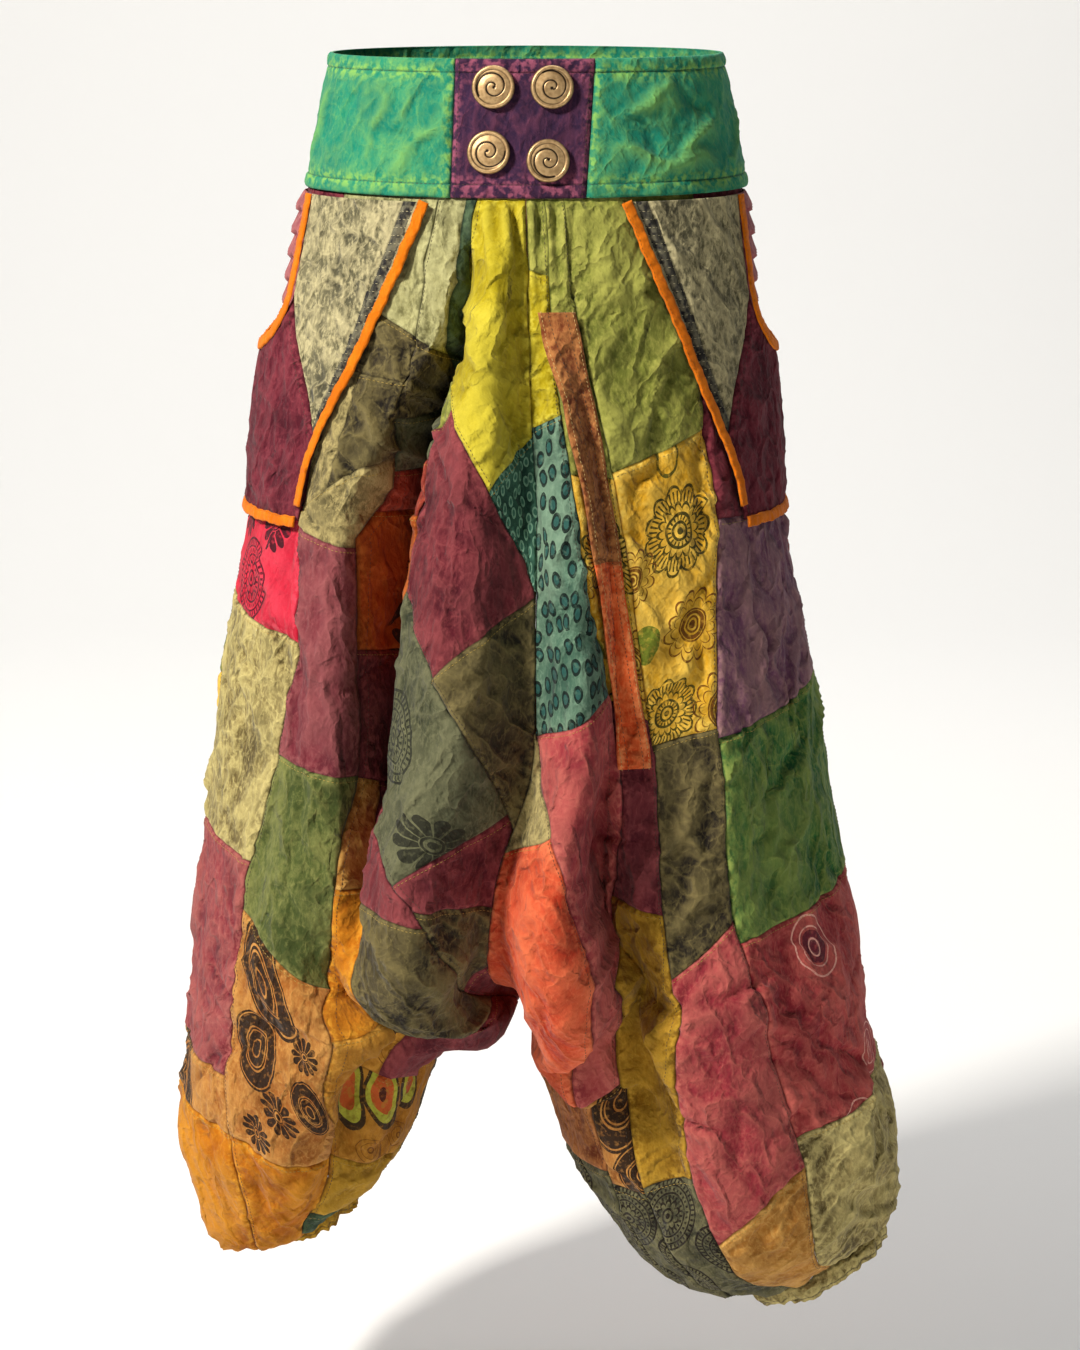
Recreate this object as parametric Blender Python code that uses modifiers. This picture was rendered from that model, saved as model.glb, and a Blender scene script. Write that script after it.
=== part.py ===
"""Patchwork harem pants: one worn, hollow garment cut in strips, with every cut piece its own solid.

Frame: metres, +Z up, the wearer faces -Y, +X is the wearer's left.  The origin is the middle of the
waist opening, level with the top edge of the waistband.

How the cloth is placed.  Each half of the garment (sewn together at the front and the back) is one
sheet.  A place on it is (s, t): s runs round the half from the front seam (0) over the side (0.5) to
the back seam (1), and t runs down from the waistband (0) through the crotch (CROTCH) to the cuff (1).
Below the crotch s starts and ends at the inseam.  LEVELS gives the plain sheet, FOLDS its pleats.
"""
import math
from collections import namedtuple

import bpy
import numpy as np
from mathutils import Matrix, Vector

# ---- driving sizes, in metres ---------------------------------------------------------------
WALL = 0.0020             # one layer of cotton with its seam turned under
BAND_WALL = 0.0030        # the waistband is doubled cloth
BAND_HEIGHT = 0.1005      # from its top edge to its bottom edge
BINDING_WALL = 0.0015
SEAM_GAP = 0.0003         # left between pieces that are sewn edge to edge
WAIST_HALF_WIDTH = 0.150
WAIST_HALF_DEPTH = 0.102
BINDING_WIDTH = 0.0085
CUFF_HEIGHT = 0.018
CUFF_WALL = 0.0025
BUTTON_RADIUS = 0.0160
BUTTON_THICK = 0.0050
CROTCH = 0.74             # t of the point where the front, back and both inseams meet
LEG_ROWS = (0, 0.05, 0.10, 0.14, 0.18, 0.22, 0.27, 0.31, 0.37, 0.43, 0.48, 0.52, 0.58, 0.64, 0.69, 0.74,
            0.78, 0.82, 0.87, 0.91, 0.955, 1.0)
GRID_S, GRID_T = 401, 401

# ---- the plain sheet: one row for each level down the leg -------------------------------------
# z_seam, x_seam: the front/back seam or the inseam.  z_side, x_side: the outside of the leg.
# depth: half the front-to-back size.  gap: angle left open at the seam (90 = the sheet starts at
# the middle of the front, 0 = a closed leg).  dip: how much the front hangs lower than the back.
Level = namedtuple("Level", "t z_side z_seam y_mid depth gap x_seam x_side dip")

LEVELS = {
    "right": [
        Level(0.00, -0.1008, -0.1008, 0.000, 0.116, 90, 0.000, -0.168, 0.000),
        Level(0.12, -0.213, -0.213, 0.004, 0.142, 90, 0.003, -0.184, 0.000),
        Level(0.28, -0.365, -0.360, 0.004, 0.162, 90, 0.008, -0.219, 0.000),
        Level(0.44, -0.508, -0.505, 0.002, 0.168, 90, 0.006, -0.244, 0.000),
        Level(0.60, -0.640, -0.632, 0.000, 0.166, 82, -0.026, -0.259, 0.000),
        Level(0.67, -0.690, -0.689, 0.000, 0.160, 60, -0.030, -0.265, 0.000),
        Level(0.74, -0.738, -0.745, 0.000, 0.152, 0, -0.003, -0.270, 0.000),
        Level(0.80, -0.790, -0.796, 0.000, 0.142, 0, -0.070, -0.277, 0.000),
        Level(0.86, -0.842, -0.848, 0.000, 0.130, 0, -0.088, -0.282, 0.002),
        Level(0.92, -0.902, -0.885, 0.000, 0.104, 0, -0.110, -0.273, 0.006),
        Level(0.97, -0.955, -0.918, -0.004, 0.064, 0, -0.150, -0.252, 0.010),
        Level(1.00, -0.950, -0.926, 0.006, 0.042, 0, -0.146, -0.230, 0.000),
    ],
    "left": [
        Level(0.00, -0.1008, -0.1008, 0.000, 0.116, 90, 0.000, 0.166, 0.000),
        Level(0.12, -0.213, -0.213, 0.004, 0.142, 90, 0.003, 0.172, 0.000),
        Level(0.28, -0.365, -0.360, 0.004, 0.162, 90, 0.008, 0.201, 0.000),
        Level(0.44, -0.508, -0.505, 0.002, 0.168, 90, 0.006, 0.229, 0.000),
        Level(0.60, -0.640, -0.632, 0.000, 0.166, 82, -0.026, 0.253, 0.000),
        Level(0.67, -0.690, -0.689, 0.000, 0.160, 60, -0.030, 0.264, 0.000),
        Level(0.74, -0.738, -0.745, 0.000, 0.152, 0, -0.003, 0.271, 0.000),
        Level(0.80, -0.790, -0.808, 0.000, 0.142, 0, 0.014, 0.280, 0.000),
        Level(0.86, -0.840, -0.870, 0.000, 0.136, 0, 0.030, 0.296, 0.000),
        Level(0.92, -0.892, -0.935, 0.000, 0.124, 0, 0.066, 0.303, 0.004),
        Level(0.97, -0.930, -0.988, 0.000, 0.092, 0, 0.112, 0.304, 0.006),
        Level(1.00, -0.945, -1.005, 0.000, 0.050, 0, 0.180, 0.292, 0.006),
    ],
}

# the waistband, from its top edge to its bottom edge, which laps the leg strips
BAND_LEVELS = [
    Level(0.00, 0.000, 0.000, 0.000, WAIST_HALF_DEPTH, 90, 0.000, WAIST_HALF_WIDTH, 0.000),
    Level(0.50, -BAND_HEIGHT / 2, -BAND_HEIGHT / 2, 0.000, 0.1100, 90, 0.000, 0.1595, 0.000),
    Level(1.00, -BAND_HEIGHT, -BAND_HEIGHT, 0.000, 0.1190, 90, 0.000, 0.1705, 0.000),
]

# ---- the pleats and large folds: one row for each place down a fold ---------------------------
# s: where the crest or the trough is.  half: half its width in s.  rise: + stands out, - goes in.
# sag: how far the cloth hangs down there.
Fold = namedtuple("Fold", "t s half rise sag")

FOLDS = {
    "right": {
        "centre drape": [Fold(0.00, 0.045, 0.035, 0.000, 0.0), Fold(0.05, 0.045, 0.040, 0.018, 0.0),
                         Fold(0.15, 0.062, 0.056, 0.030, 0.0), Fold(0.31, 0.085, 0.080, 0.040, 0.0),
                         Fold(0.50, 0.092, 0.088, 0.050, 0.0), Fold(0.62, 0.090, 0.084, 0.052, 0.000),
                         Fold(0.69, 0.110, 0.080, 0.040, 0.002), Fold(0.73, 0.122, 0.075, 0.024, 0.005),
                         Fold(0.77, 0.130, 0.065, 0.000, 0.0)],
        "deep pleat": [Fold(0.02, 0.088, 0.018, 0.000, 0.0), Fold(0.10, 0.106, 0.026, -0.035, 0.0),
                       Fold(0.17, 0.160, 0.040, -0.066, 0.0), Fold(0.27, 0.200, 0.050, -0.088, 0.0),
                       Fold(0.37, 0.198, 0.042, -0.078, 0.0), Fold(0.48, 0.192, 0.030, -0.055, 0.0),
                       Fold(0.58, 0.166, 0.024, -0.030, 0.0), Fold(0.68, 0.150, 0.024, 0.000, 0.0)],
        "thigh roll": [Fold(0.10, 0.270, 0.060, 0.000, 0.0), Fold(0.28, 0.268, 0.060, 0.010, 0.0),
                       Fold(0.50, 0.250, 0.060, 0.012, 0.0), Fold(0.80, 0.250, 0.070, 0.008, 0.0),
                       Fold(0.96, 0.250, 0.070, 0.000, 0.0)],
        "shin trough": [Fold(0.60, 0.205, 0.030, 0.000, 0.0), Fold(0.72, 0.190, 0.036, -0.022, 0.0),
                        Fold(0.86, 0.190, 0.044, -0.024, 0.0), Fold(0.97, 0.200, 0.050, 0.000, 0.0)],
        "back trough": [Fold(0.04, 0.900, 0.030, 0.000, 0.0), Fold(0.16, 0.880, 0.044, -0.026, 0.0),
                        Fold(0.40, 0.850, 0.060, -0.046, 0.0), Fold(0.62, 0.850, 0.056, -0.034, 0.0),
                        Fold(0.80, 0.840, 0.060, 0.000, 0.0)],
        "back drape": [Fold(0.04, 0.955, 0.030, 0.000, 0.0), Fold(0.20, 0.945, 0.046, 0.016, 0.0),
                       Fold(0.50, 0.930, 0.068, 0.034, 0.0), Fold(0.66, 0.915, 0.066, 0.026, 0.004),
                       Fold(0.78, 0.895, 0.055, 0.000, 0.0)],
        "back roll": [Fold(0.24, 0.740, 0.050, 0.000, 0.0), Fold(0.48, 0.735, 0.056, 0.014, 0.0),
                      Fold(0.76, 0.740, 0.060, 0.012, 0.0), Fold(0.95, 0.740, 0.060, 0.000, 0.0)],
    },
    "left": {
        "centre drape": [Fold(0.10, 0.030, 0.028, 0.000, 0.0), Fold(0.20, 0.042, 0.040, 0.018, 0.0),
                         Fold(0.31, 0.048, 0.046, 0.030, 0.0), Fold(0.46, 0.052, 0.050, 0.044, 0.0),
                         Fold(0.58, 0.064, 0.060, 0.050, 0.000), Fold(0.67, 0.082, 0.065, 0.044, 0.006),
                         Fold(0.73, 0.116, 0.062, 0.028, 0.022), Fold(0.765, 0.132, 0.056, 0.014, 0.036),
                         Fold(0.80, 0.134, 0.052, 0.000, 0.0)],
        "inner pleat": [Fold(0.42, 0.078, 0.018, 0.000, 0.0), Fold(0.49, 0.086, 0.024, -0.026, 0.0),
                        Fold(0.53, 0.102, 0.032, -0.038, 0.0), Fold(0.58, 0.122, 0.036, -0.048, 0.0),
                        Fold(0.70, 0.155, 0.044, -0.046, 0.0),
                        Fold(0.80, 0.175, 0.050, -0.030, 0.0), Fold(0.92, 0.180, 0.050, 0.000, 0.0)],
        "thigh roll": [Fold(0.20, 0.250, 0.070, 0.000, 0.0), Fold(0.46, 0.245, 0.070, 0.012, 0.0),
                       Fold(0.76, 0.255, 0.070, 0.014, 0.0), Fold(0.95, 0.260, 0.060, 0.000, 0.0)],
        "knee tuck": [Fold(0.80, 0.400, 0.060, 0.000, 0.0), Fold(0.88, 0.400, 0.080, 0.012, 0.010),
                      Fold(0.93, 0.400, 0.080, -0.010, 0.0), Fold(0.98, 0.400, 0.060, 0.000, 0.0)],
        "back trough": [Fold(0.06, 0.905, 0.030, 0.000, 0.0), Fold(0.22, 0.885, 0.046, -0.030, 0.0),
                        Fold(0.44, 0.865, 0.056, -0.040, 0.0), Fold(0.66, 0.855, 0.056, -0.030, 0.0),
                        Fold(0.84, 0.850, 0.060, 0.000, 0.0)],
        "back drape": [Fold(0.06, 0.955, 0.030, 0.000, 0.0), Fold(0.26, 0.945, 0.046, 0.018, 0.0),
                       Fold(0.50, 0.935, 0.060, 0.030, 0.0), Fold(0.68, 0.912, 0.064, 0.026, 0.006),
                       Fold(0.79, 0.890, 0.055, 0.000, 0.0)],
        "back roll": [Fold(0.20, 0.730, 0.050, 0.000, 0.0), Fold(0.44, 0.740, 0.056, 0.012, 0.0),
                      Fold(0.72, 0.745, 0.060, 0.014, 0.0), Fold(0.94, 0.740, 0.060, 0.000, 0.0)],
    },
}

# ---- the seams between leg strips: (t, s) at each bend ------------------------------------------
SEAMS = {
    "right": {
        "centre": [(0.00, 0.000), (1.00, 0.000)],
        "drape_upper": [(0.00, 0.080), (0.14, 0.120), (0.18, 0.088), (0.22, 0.060), (0.27, 0.026),
                        (0.31, 0.002), (0.37, 0.000), (1.00, 0.000)],
        "drape_middle": [(0.00, 0.080), (0.14, 0.122), (0.22, 0.142), (0.31, 0.160), (0.37, 0.108),
                         (0.43, 0.066), (0.48, 0.032), (0.52, 0.002), (0.58, 0.000), (1.00, 0.000)],
        "drape_lower": [(0.00, 0.080), (0.14, 0.122), (0.22, 0.142), (0.31, 0.162), (0.43, 0.182),
                        (0.48, 0.182), (0.52, 0.158), (0.58, 0.088), (0.64, 0.050), (0.69, 0.045),
                        (0.74, 0.052), (1.00, 0.070)],
        "pleat": [(0.00, 0.145), (0.14, 0.178), (0.27, 0.240), (0.37, 0.228), (0.48, 0.210), (0.58, 0.194),
                  (0.64, 0.193), (0.69, 0.203), (0.74, 0.262), (0.82, 0.220), (0.87, 0.186), (0.91, 0.184),
                  (1.00, 0.205)],
        "thigh": [(0.00, 0.330), (0.27, 0.318), (0.31, 0.302), (0.37, 0.292), (0.43, 0.308), (0.58, 0.325),
                  (0.69, 0.324), (0.74, 0.366), (0.82, 0.338), (0.91, 0.308), (1.00, 0.285)],
        "side": [(0.00, 0.520), (0.30, 0.515), (1.00, 0.520)],
        "seat_side": [(0.00, 0.670), (0.35, 0.690), (0.69, 0.680), (0.74, 0.660), (1.00, 0.670)],
        "seat": [(0.00, 0.845), (0.40, 0.835), (0.69, 0.840), (0.74, 0.800), (1.00, 0.820)],
        "back": [(0.00, 1.000), (1.00, 1.000)],
    },
    "left": {
        "centre": [(0.00, 0.000), (1.00, 0.000)],
        "drape_slant": [(0.00, 0.000), (0.37, 0.000), (0.43, 0.002), (0.48, 0.018), (0.52, 0.043),
                        (0.58, 0.077), (0.64, 0.103), (0.69, 0.114), (0.74, 0.135), (0.82, 0.120),
                        (1.00, 0.090)],
        "drape": [(0.00, 0.030), (0.14, 0.037), (0.22, 0.046), (0.27, 0.053), (0.31, 0.065), (0.37, 0.086),
                  (0.48, 0.112), (0.58, 0.140), (0.64, 0.142), (0.69, 0.132), (0.74, 0.155), (1.00, 0.140)],
        "inner": [(0.00, 0.062), (0.07, 0.070), (0.14, 0.088), (0.22, 0.110), (0.31, 0.125), (0.43, 0.143),
                  (0.52, 0.165), (0.58, 0.180), (0.69, 0.190), (0.74, 0.230), (0.87, 0.206), (1.00, 0.200)],
        "thigh": [(0.00, 0.300), (0.27, 0.262), (0.31, 0.247), (0.43, 0.226), (0.52, 0.240), (0.64, 0.258),
                  (0.69, 0.268), (0.74, 0.306), (0.87, 0.316), (1.00, 0.290)],
        "side": [(0.00, 0.520), (0.30, 0.515), (1.00, 0.520)],
        "seat_side": [(0.00, 0.680), (0.40, 0.665), (0.69, 0.680), (0.74, 0.660), (1.00, 0.680)],
        "seat": [(0.00, 0.840), (0.35, 0.850), (0.69, 0.840), (0.74, 0.800), (1.00, 0.820)],
        "back": [(0.00, 1.000), (1.00, 1.000)],
    },
}

# ---- the leg strips: name, seams they lie between, t range, columns of facets, main cloth -------
Strip = namedtuple("Strip", "name first last top bottom columns cloth")

STRIPS = {
    "right": [
        Strip("drape_top", "centre", "drape_upper", 0.00, 0.31, 4, "yellow"),
        Strip("drape_mid", "drape_upper", "drape_middle", 0.14, 0.52, 4, "plum"),
        Strip("drape_low", "drape_middle", "drape_lower", 0.31, 1.00, 4, "olive"),
        Strip("pleat_floor", "drape_lower", "pleat", 0.00, 1.00, 5, "orange print"),
        Strip("front", "pleat", "thigh", 0.00, 1.00, 3, "rose"),
        Strip("side", "thigh", "side", 0.00, 1.00, 3, "red print"),
        Strip("side_back", "side", "seat_side", 0.00, 1.00, 3, "sage"),
        Strip("seat_outer", "seat_side", "seat", 0.00, 1.00, 4, "brown print"),
        Strip("seat_inner", "seat", "back", 0.00, 1.00, 4, "plum"),
    ],
    "left": [
        Strip("drape_low", "centre", "drape_slant", 0.43, 1.00, 3, "coral"),
        Strip("drape_top", "drape_slant", "drape", 0.00, 1.00, 3, "teal print"),
        Strip("inner", "drape", "inner", 0.00, 1.00, 3, "mustard"),
        Strip("front", "inner", "thigh", 0.00, 1.00, 3, "yellow print"),
        Strip("side", "thigh", "side", 0.00, 1.00, 4, "green"),
        Strip("side_back", "side", "seat_side", 0.00, 1.00, 3, "lilac"),
        Strip("seat_outer", "seat_side", "seat", 0.00, 1.00, 4, "olive"),
        Strip("seat_inner", "seat", "back", 0.00, 1.00, 4, "rose"),
    ],
}

# ---- the pockets, the same on both sides: (t, s) down the front edges; the back mirrors them -----
POCKET_FRONT = [(0.00, 0.162), (0.05, 0.198), (0.10, 0.236), (0.18, 0.290), (0.22, 0.312), (0.262, 0.318)]
LEAF_EDGE = [(0.00, 0.410), (0.085, 0.408), (0.12, 0.385), (0.16, 0.343), (0.20, 0.306)]
LEAF_END = 0.198          # t where the leaf-shaped facing runs out against the pocket's front edge
MOUTH_SIDE = 0.410        # s of the straight part of the pocket mouth
MOUTH_TURN = 0.085        # t where the mouth starts to curve
MOUTH_LOW = 0.136         # t of the mouth's lowest point, at the side
POCKET_TOP = 0.004        # t of its top edge, just under the waistband
POCKET_HEM = 0.262        # t of the pocket's bottom edge
TUCK_PANEL = (0.375, 0.625, 0.16)   # the pin-tucked panel behind the mouth: s from, s to, t of its end
POCKET_BULGE = 0.015      # how far the loaded pocket stands off the leg
POCKET_LIFT = 0.0034      # clearance of the pocket's cloth over the strips

# ---- the strap stitched down over the left front seam: t, s of its middle, width ------------------
STRAP = [(0.088, 0.042, 0.027), (0.16, 0.066, 0.028), (0.27, 0.085, 0.030), (0.37, 0.104, 0.030),
         (0.462, 0.124, 0.031)]

# ---- buttons on the centre panel: x and drop below the top edge -----------------------------------
BUTTONS = {
    "upper_right": (-0.0235, 0.0205),
    "upper_left": (0.0190, 0.0205),
    "lower_right": (-0.0270, 0.0675),
    "lower_left": (0.0160, 0.0735),
}
# s of the centre panel's edges at its top and at its bottom
CENTRE_PANEL_EDGE = {"right": (0.132, 0.124), "left": (0.130, 0.098)}
BAND_SIDE_SEAM = 0.520

# ---- one colour, roughness and metallic value for each cloth and for the buttons ------------------
CLOTHS = {
    "teal green": (0.165, 0.456, 0.216),
    "purple": (0.040, 0.022, 0.043),
    "grey wash": (0.342, 0.270, 0.159),
    "orange": (0.745, 0.202, 0.010),
    "maroon": (0.165, 0.030, 0.035),
    "yellow": (0.352, 0.246, 0.009),
    "plum": (0.191, 0.038, 0.038),
    "olive": (0.137, 0.107, 0.058),
    "orange print": (0.296, 0.089, 0.020),
    "rose": (0.497, 0.109, 0.105),
    "red print": (0.546, 0.020, 0.044),
    "sage": (0.148, 0.136, 0.038),
    "brown print": (0.296, 0.120, 0.045),
    "coral": (0.539, 0.089, 0.042),
    "teal print": (0.287, 0.381, 0.238),
    "mustard": (0.250, 0.125, 0.012),
    "yellow print": (0.753, 0.397, 0.037),
    "green": (0.105, 0.168, 0.054),
    "lilac": (0.352, 0.171, 0.174),
    "khaki": (0.305, 0.283, 0.156),
    "brown strap": (0.527, 0.209, 0.063),
}
CLOTH_ROUGHNESS = 0.9
BRONZE = (0.365, 0.235, 0.105)


# ---- the sheet --------------------------------------------------------------------------------
def smooth_column(rows, name, t):
    """A table column read at every t, smoothly, without overshooting the rows."""
    knots = np.array([row.t for row in rows], float)
    values = np.array([getattr(row, name) for row in rows], float)
    slopes = np.diff(values) / np.diff(knots)
    tangents = np.zeros(len(knots))
    tangents[0], tangents[-1] = slopes[0], slopes[-1]
    for i in range(1, len(knots) - 1):
        if slopes[i - 1] * slopes[i] > 0:
            tangents[i] = 2 / (1 / slopes[i - 1] + 1 / slopes[i])
    t = np.clip(t, knots[0], knots[-1])
    i = np.clip(np.searchsorted(knots, t, side="right") - 1, 0, len(knots) - 2)
    span = knots[i + 1] - knots[i]
    u = (t - knots[i]) / span
    rise = (3 * u**2 - 2 * u**3) * (values[i + 1] - values[i])
    return values[i] + rise + span * (u * (1 - u)**2 * tangents[i] - u**2 * (1 - u) * tangents[i + 1])


def level_columns(levels, t):
    """Every column of a table of levels at every t.

    On a leg, what both halves share at the seams is read apart above and below the crotch.
    """
    columns = {name: smooth_column(levels, name, t) for name in Level._fields[1:]}
    if levels is not BAND_LEVELS:
        above = [row for row in levels if row.t <= CROTCH]
        below = [row for row in levels if row.t >= CROTCH]
        for name in ("z_seam", "y_mid", "depth", "gap", "x_seam"):
            columns[name] = np.where(t > CROTCH, smooth_column(below, name, t),
                                     smooth_column(above, name, t))
    return columns


def plain_sheet(levels, s, t):
    """Points of the sheet without its folds, as an array [s, t, xyz]."""
    sheet = np.zeros((len(s), len(t), 3))
    col = level_columns(levels, t)
    for j in range(len(t)):
        gap = math.radians(max(col["gap"][j], 0.0))
        around = np.linspace(gap, 2 * math.pi - gap, 241)
        half_width = (col["x_side"][j] - col["x_seam"][j]) / (1 + math.cos(gap))
        x = col["x_side"][j] - half_width * (1 + np.cos(around))
        y = col["y_mid"][j] - col["depth"][j] * np.sin(around)
        length = np.concatenate([[0], np.cumsum(np.hypot(np.diff(x), np.diff(y)))])
        sheet[:, j, 0] = np.interp(s, length / length[-1], x)
        sheet[:, j, 1] = np.interp(s, length / length[-1], y)
        lower = np.sin(math.pi * s)**2
        z = col["z_seam"][j] + (col["z_side"][j] - col["z_seam"][j]) * lower
        sheet[:, j, 2] = z - col["dip"][j] * np.sin(2 * math.pi * s)
    return sheet


def beyond(sheets, side, t):
    """The sheet with one more column past each end: the other half, or the same leg's other edge."""
    own, other = sheets[side], sheets["left" if side == "right" else "right"]
    above = (t < CROTCH - 1e-6)[:, None]
    before = np.where(above, other[1], own[-2])
    after = np.where(above, other[-2], own[1])
    return np.concatenate([before[None], own, after[None]])


def outward(sheets, side, t):
    """Unit normals of a half, pointing out of the garment."""
    wide = beyond(sheets, side, t)
    along = wide[2:] - wide[:-2]
    down = np.gradient(sheets[side], axis=1)
    normal = np.cross(down, along) if side == "left" else np.cross(along, down)
    normal /= np.maximum(np.linalg.norm(normal, axis=2, keepdims=True), 1e-9)
    return normal


def fold_rise(folds, s, t):
    """How far the folds move the cloth out, and how far down, as two arrays [s, t]."""
    rise, sag = np.zeros((len(s), len(t))), np.zeros((len(s), len(t)))
    for rows in folds.values():
        inside = (t >= rows[0].t) & (t <= rows[-1].t)
        middle, half = smooth_column(rows, "s", t), smooth_column(rows, "half", t)
        across = (s[:, None] - middle) / half
        bell = np.where(np.abs(across) < 1, (1 - across**2)**2, 0) * inside
        rise += bell * smooth_column(rows, "rise", t)
        sag += bell * smooth_column(rows, "sag", t)
    edge = np.clip(np.minimum(s, 1 - s) / 0.02, 0, 1)[:, None]
    return rise * edge, sag * edge


def build_sheets():
    """Finished points and outward normals of both halves."""
    s, t = np.linspace(0, 1, GRID_S), np.linspace(0, 1, GRID_T)
    plain = {side: plain_sheet(LEVELS[side], s, t) for side in LEVELS}
    worn = {}
    for side in plain:
        rise, sag = fold_rise(FOLDS[side], s, t)
        worn[side] = plain[side] + outward(plain, side, t) * rise[..., None]
        worn[side][..., 2] -= sag
    return {side: (worn[side], outward(worn, side, t)) for side in worn}


SHEETS = build_sheets()


def read_grid(grid, s, t):
    """A value of a sheet array between its grid points."""
    a, b = min(max(s, 0), 1) * (GRID_S - 1), min(max(t, 0), 1) * (GRID_T - 1)
    i, j = min(int(a), GRID_S - 2), min(int(b), GRID_T - 2)
    u, v = a - i, b - j
    near = grid[i, j] * (1 - v) + grid[i, j + 1] * v
    far = grid[i + 1, j] * (1 - v) + grid[i + 1, j + 1] * v
    return near * (1 - u) + far * u


def on_sheet(side, s, t, out=0.0):
    """The point at (s, t) of a half, moved out along the cloth's own normal."""
    points, normals = SHEETS[side]
    normal = read_grid(normals, s, t)
    return read_grid(points, s, t) + normal / max(np.linalg.norm(normal), 1e-9) * out


def girth(side, t):
    """Length once round a half at t."""
    ring = [on_sheet(side, s, t) for s in np.linspace(0, 1, 121)]
    return sum(float(np.linalg.norm(b - a)) for a, b in zip(ring, ring[1:]))


def line_at(line, t):
    """s of a seam line at t."""
    return float(np.interp(t, [p[0] for p in line], [p[1] for p in line]))


# ---- solids -----------------------------------------------------------------------------------
def fresh_scene():
    for obj in list(bpy.data.objects):
        bpy.data.objects.remove(obj, do_unlink=True)
    collection = bpy.data.collections.new("harem_pants")
    bpy.context.scene.collection.children.link(collection)
    return collection


def material_for(name, colour, roughness=CLOTH_ROUGHNESS, metallic=0.0):
    mat = bpy.data.materials.new(name.replace(" ", "_"))
    mat.use_nodes = True
    shader = mat.node_tree.nodes["Principled BSDF"]
    shader.inputs["Base Color"].default_value = (*colour, 1.0)
    shader.inputs["Roughness"].default_value = roughness
    shader.inputs["Metallic"].default_value = metallic
    mat.diffuse_color = (*colour, 1.0)
    return mat


COLLECTION = fresh_scene()
MATERIALS = {name: material_for(name, colour) for name, colour in CLOTHS.items()}
MATERIALS["bronze"] = material_for("bronze", BRONZE, roughness=0.45, metallic=0.8)


def add_object(name, vertices, faces, cloth):
    mesh = bpy.data.meshes.new(name)
    mesh.from_pydata([tuple(v) for v in vertices], [], faces)
    mesh.materials.append(MATERIALS[cloth])
    for polygon in mesh.polygons:
        polygon.use_smooth = True
    obj = bpy.data.objects.new(name, mesh)
    COLLECTION.objects.link(obj)
    return obj


def wall(name, outer, inner, cloth, ring=False):
    """A closed piece of cloth between two grids of points [row][column], outer side first.

    A ring's columns close on themselves; any other wall gets an edge all round.
    """
    rows, columns = len(outer), len(outer[0])
    vertices = [p for row in outer for p in row] + [p for row in inner for p in row]
    back = rows * columns
    faces = []
    for i in range(rows - 1):
        for j in range(columns if ring else columns - 1):
            k = (j + 1) % columns
            a, b, c, d = i * columns + j, i * columns + k, (i + 1) * columns + k, (i + 1) * columns + j
            faces.append((a, d, c, b))
            faces.append((back + a, back + b, back + c, back + d))
    for i, flip in ((0, False), (rows - 1, True)):
        for j in range(columns if ring else columns - 1):
            a, b = i * columns + j, i * columns + (j + 1) % columns
            quad = (a, b, back + b, back + a)
            faces.append(quad[::-1] if flip else quad)
    if not ring:
        for j, flip in ((0, True), (columns - 1, False)):
            for i in range(rows - 1):
                a, b = i * columns + j, (i + 1) * columns + j
                for triangle in ((a, b, back + b), (a, back + b, back + a)):
                    faces.append(triangle[::-1] if flip else triangle)
    # turn the whole piece the right way out if the grids ran the other way
    volume = 0.0
    for face in faces:
        for n in range(1, len(face) - 1):
            p, q, r = (np.asarray(vertices[face[m]]) for m in (0, n, n + 1))
            volume += float(np.dot(p, np.cross(q, r)))
    if volume < 0:
        faces = [face[::-1] for face in faces]
    return add_object(name, vertices, faces, cloth)


def sheet_wall(name, side, places, cloth, near=0.0, thick=WALL):
    """A wall on one half: places is a grid of (s, t) or (s, t, lift); near is its inner clearance."""
    def side_of(level):
        return [[on_sheet(side, p[0], p[1], level + (p[2] if len(p) > 2 else 0.0)) for p in row]
                for row in places]
    return wall(name, side_of(near + thick), side_of(near), cloth)


# ---- leg strips: cloth hangs inward from the sheet, so the sheet is the visible outside ------------
def strip_places(side, strip):
    """The grid of a strip, drawn in from its seams by half the seam gap."""
    first, last = SEAMS[side][strip.first], SEAMS[side][strip.last]
    places = []
    for t in [r for r in LEG_ROWS if strip.top - 1e-6 <= r <= strip.bottom + 1e-6]:
        inset = SEAM_GAP / 2 / girth(side, t)
        crotch_ease = 0.0012 / girth(side, t) * math.exp(-((t - CROTCH) / 0.05)**2)
        a = line_at(first, t) + inset + (crotch_ease if strip.first == "centre" else 0)
        b = line_at(last, t) - inset - (crotch_ease if strip.last == "back" else 0)
        places.append([(a + (b - a) * k / strip.columns, t) for k in range(strip.columns + 1)])
    return places


for side_name, strips in STRIPS.items():
    for strip in strips:
        sheet_wall(f"{side_name}_{strip.name}", side_name, strip_places(side_name, strip), strip.cloth,
                   near=-WALL)

# ---- pockets ------------------------------------------------------------------------------------
def pocket_lift(s, t):
    """How far the pocket's cloth stands off the strips: most at the mouth's low point."""
    round_side = math.exp(-((s - 0.5) / 0.105)**2)
    if t <= MOUTH_LOW:
        down = math.sin(math.pi / 2 * t / MOUTH_LOW)**1.3
    else:
        fade = min((t - MOUTH_LOW) / (POCKET_HEM - MOUTH_LOW), 1.0)
        down = max(math.cos(math.pi / 2 * fade), 0.0)**0.8
    return POCKET_LIFT + POCKET_BULGE * round_side * down


def mirrored(s, back):
    return 1 - s if back else s


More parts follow.
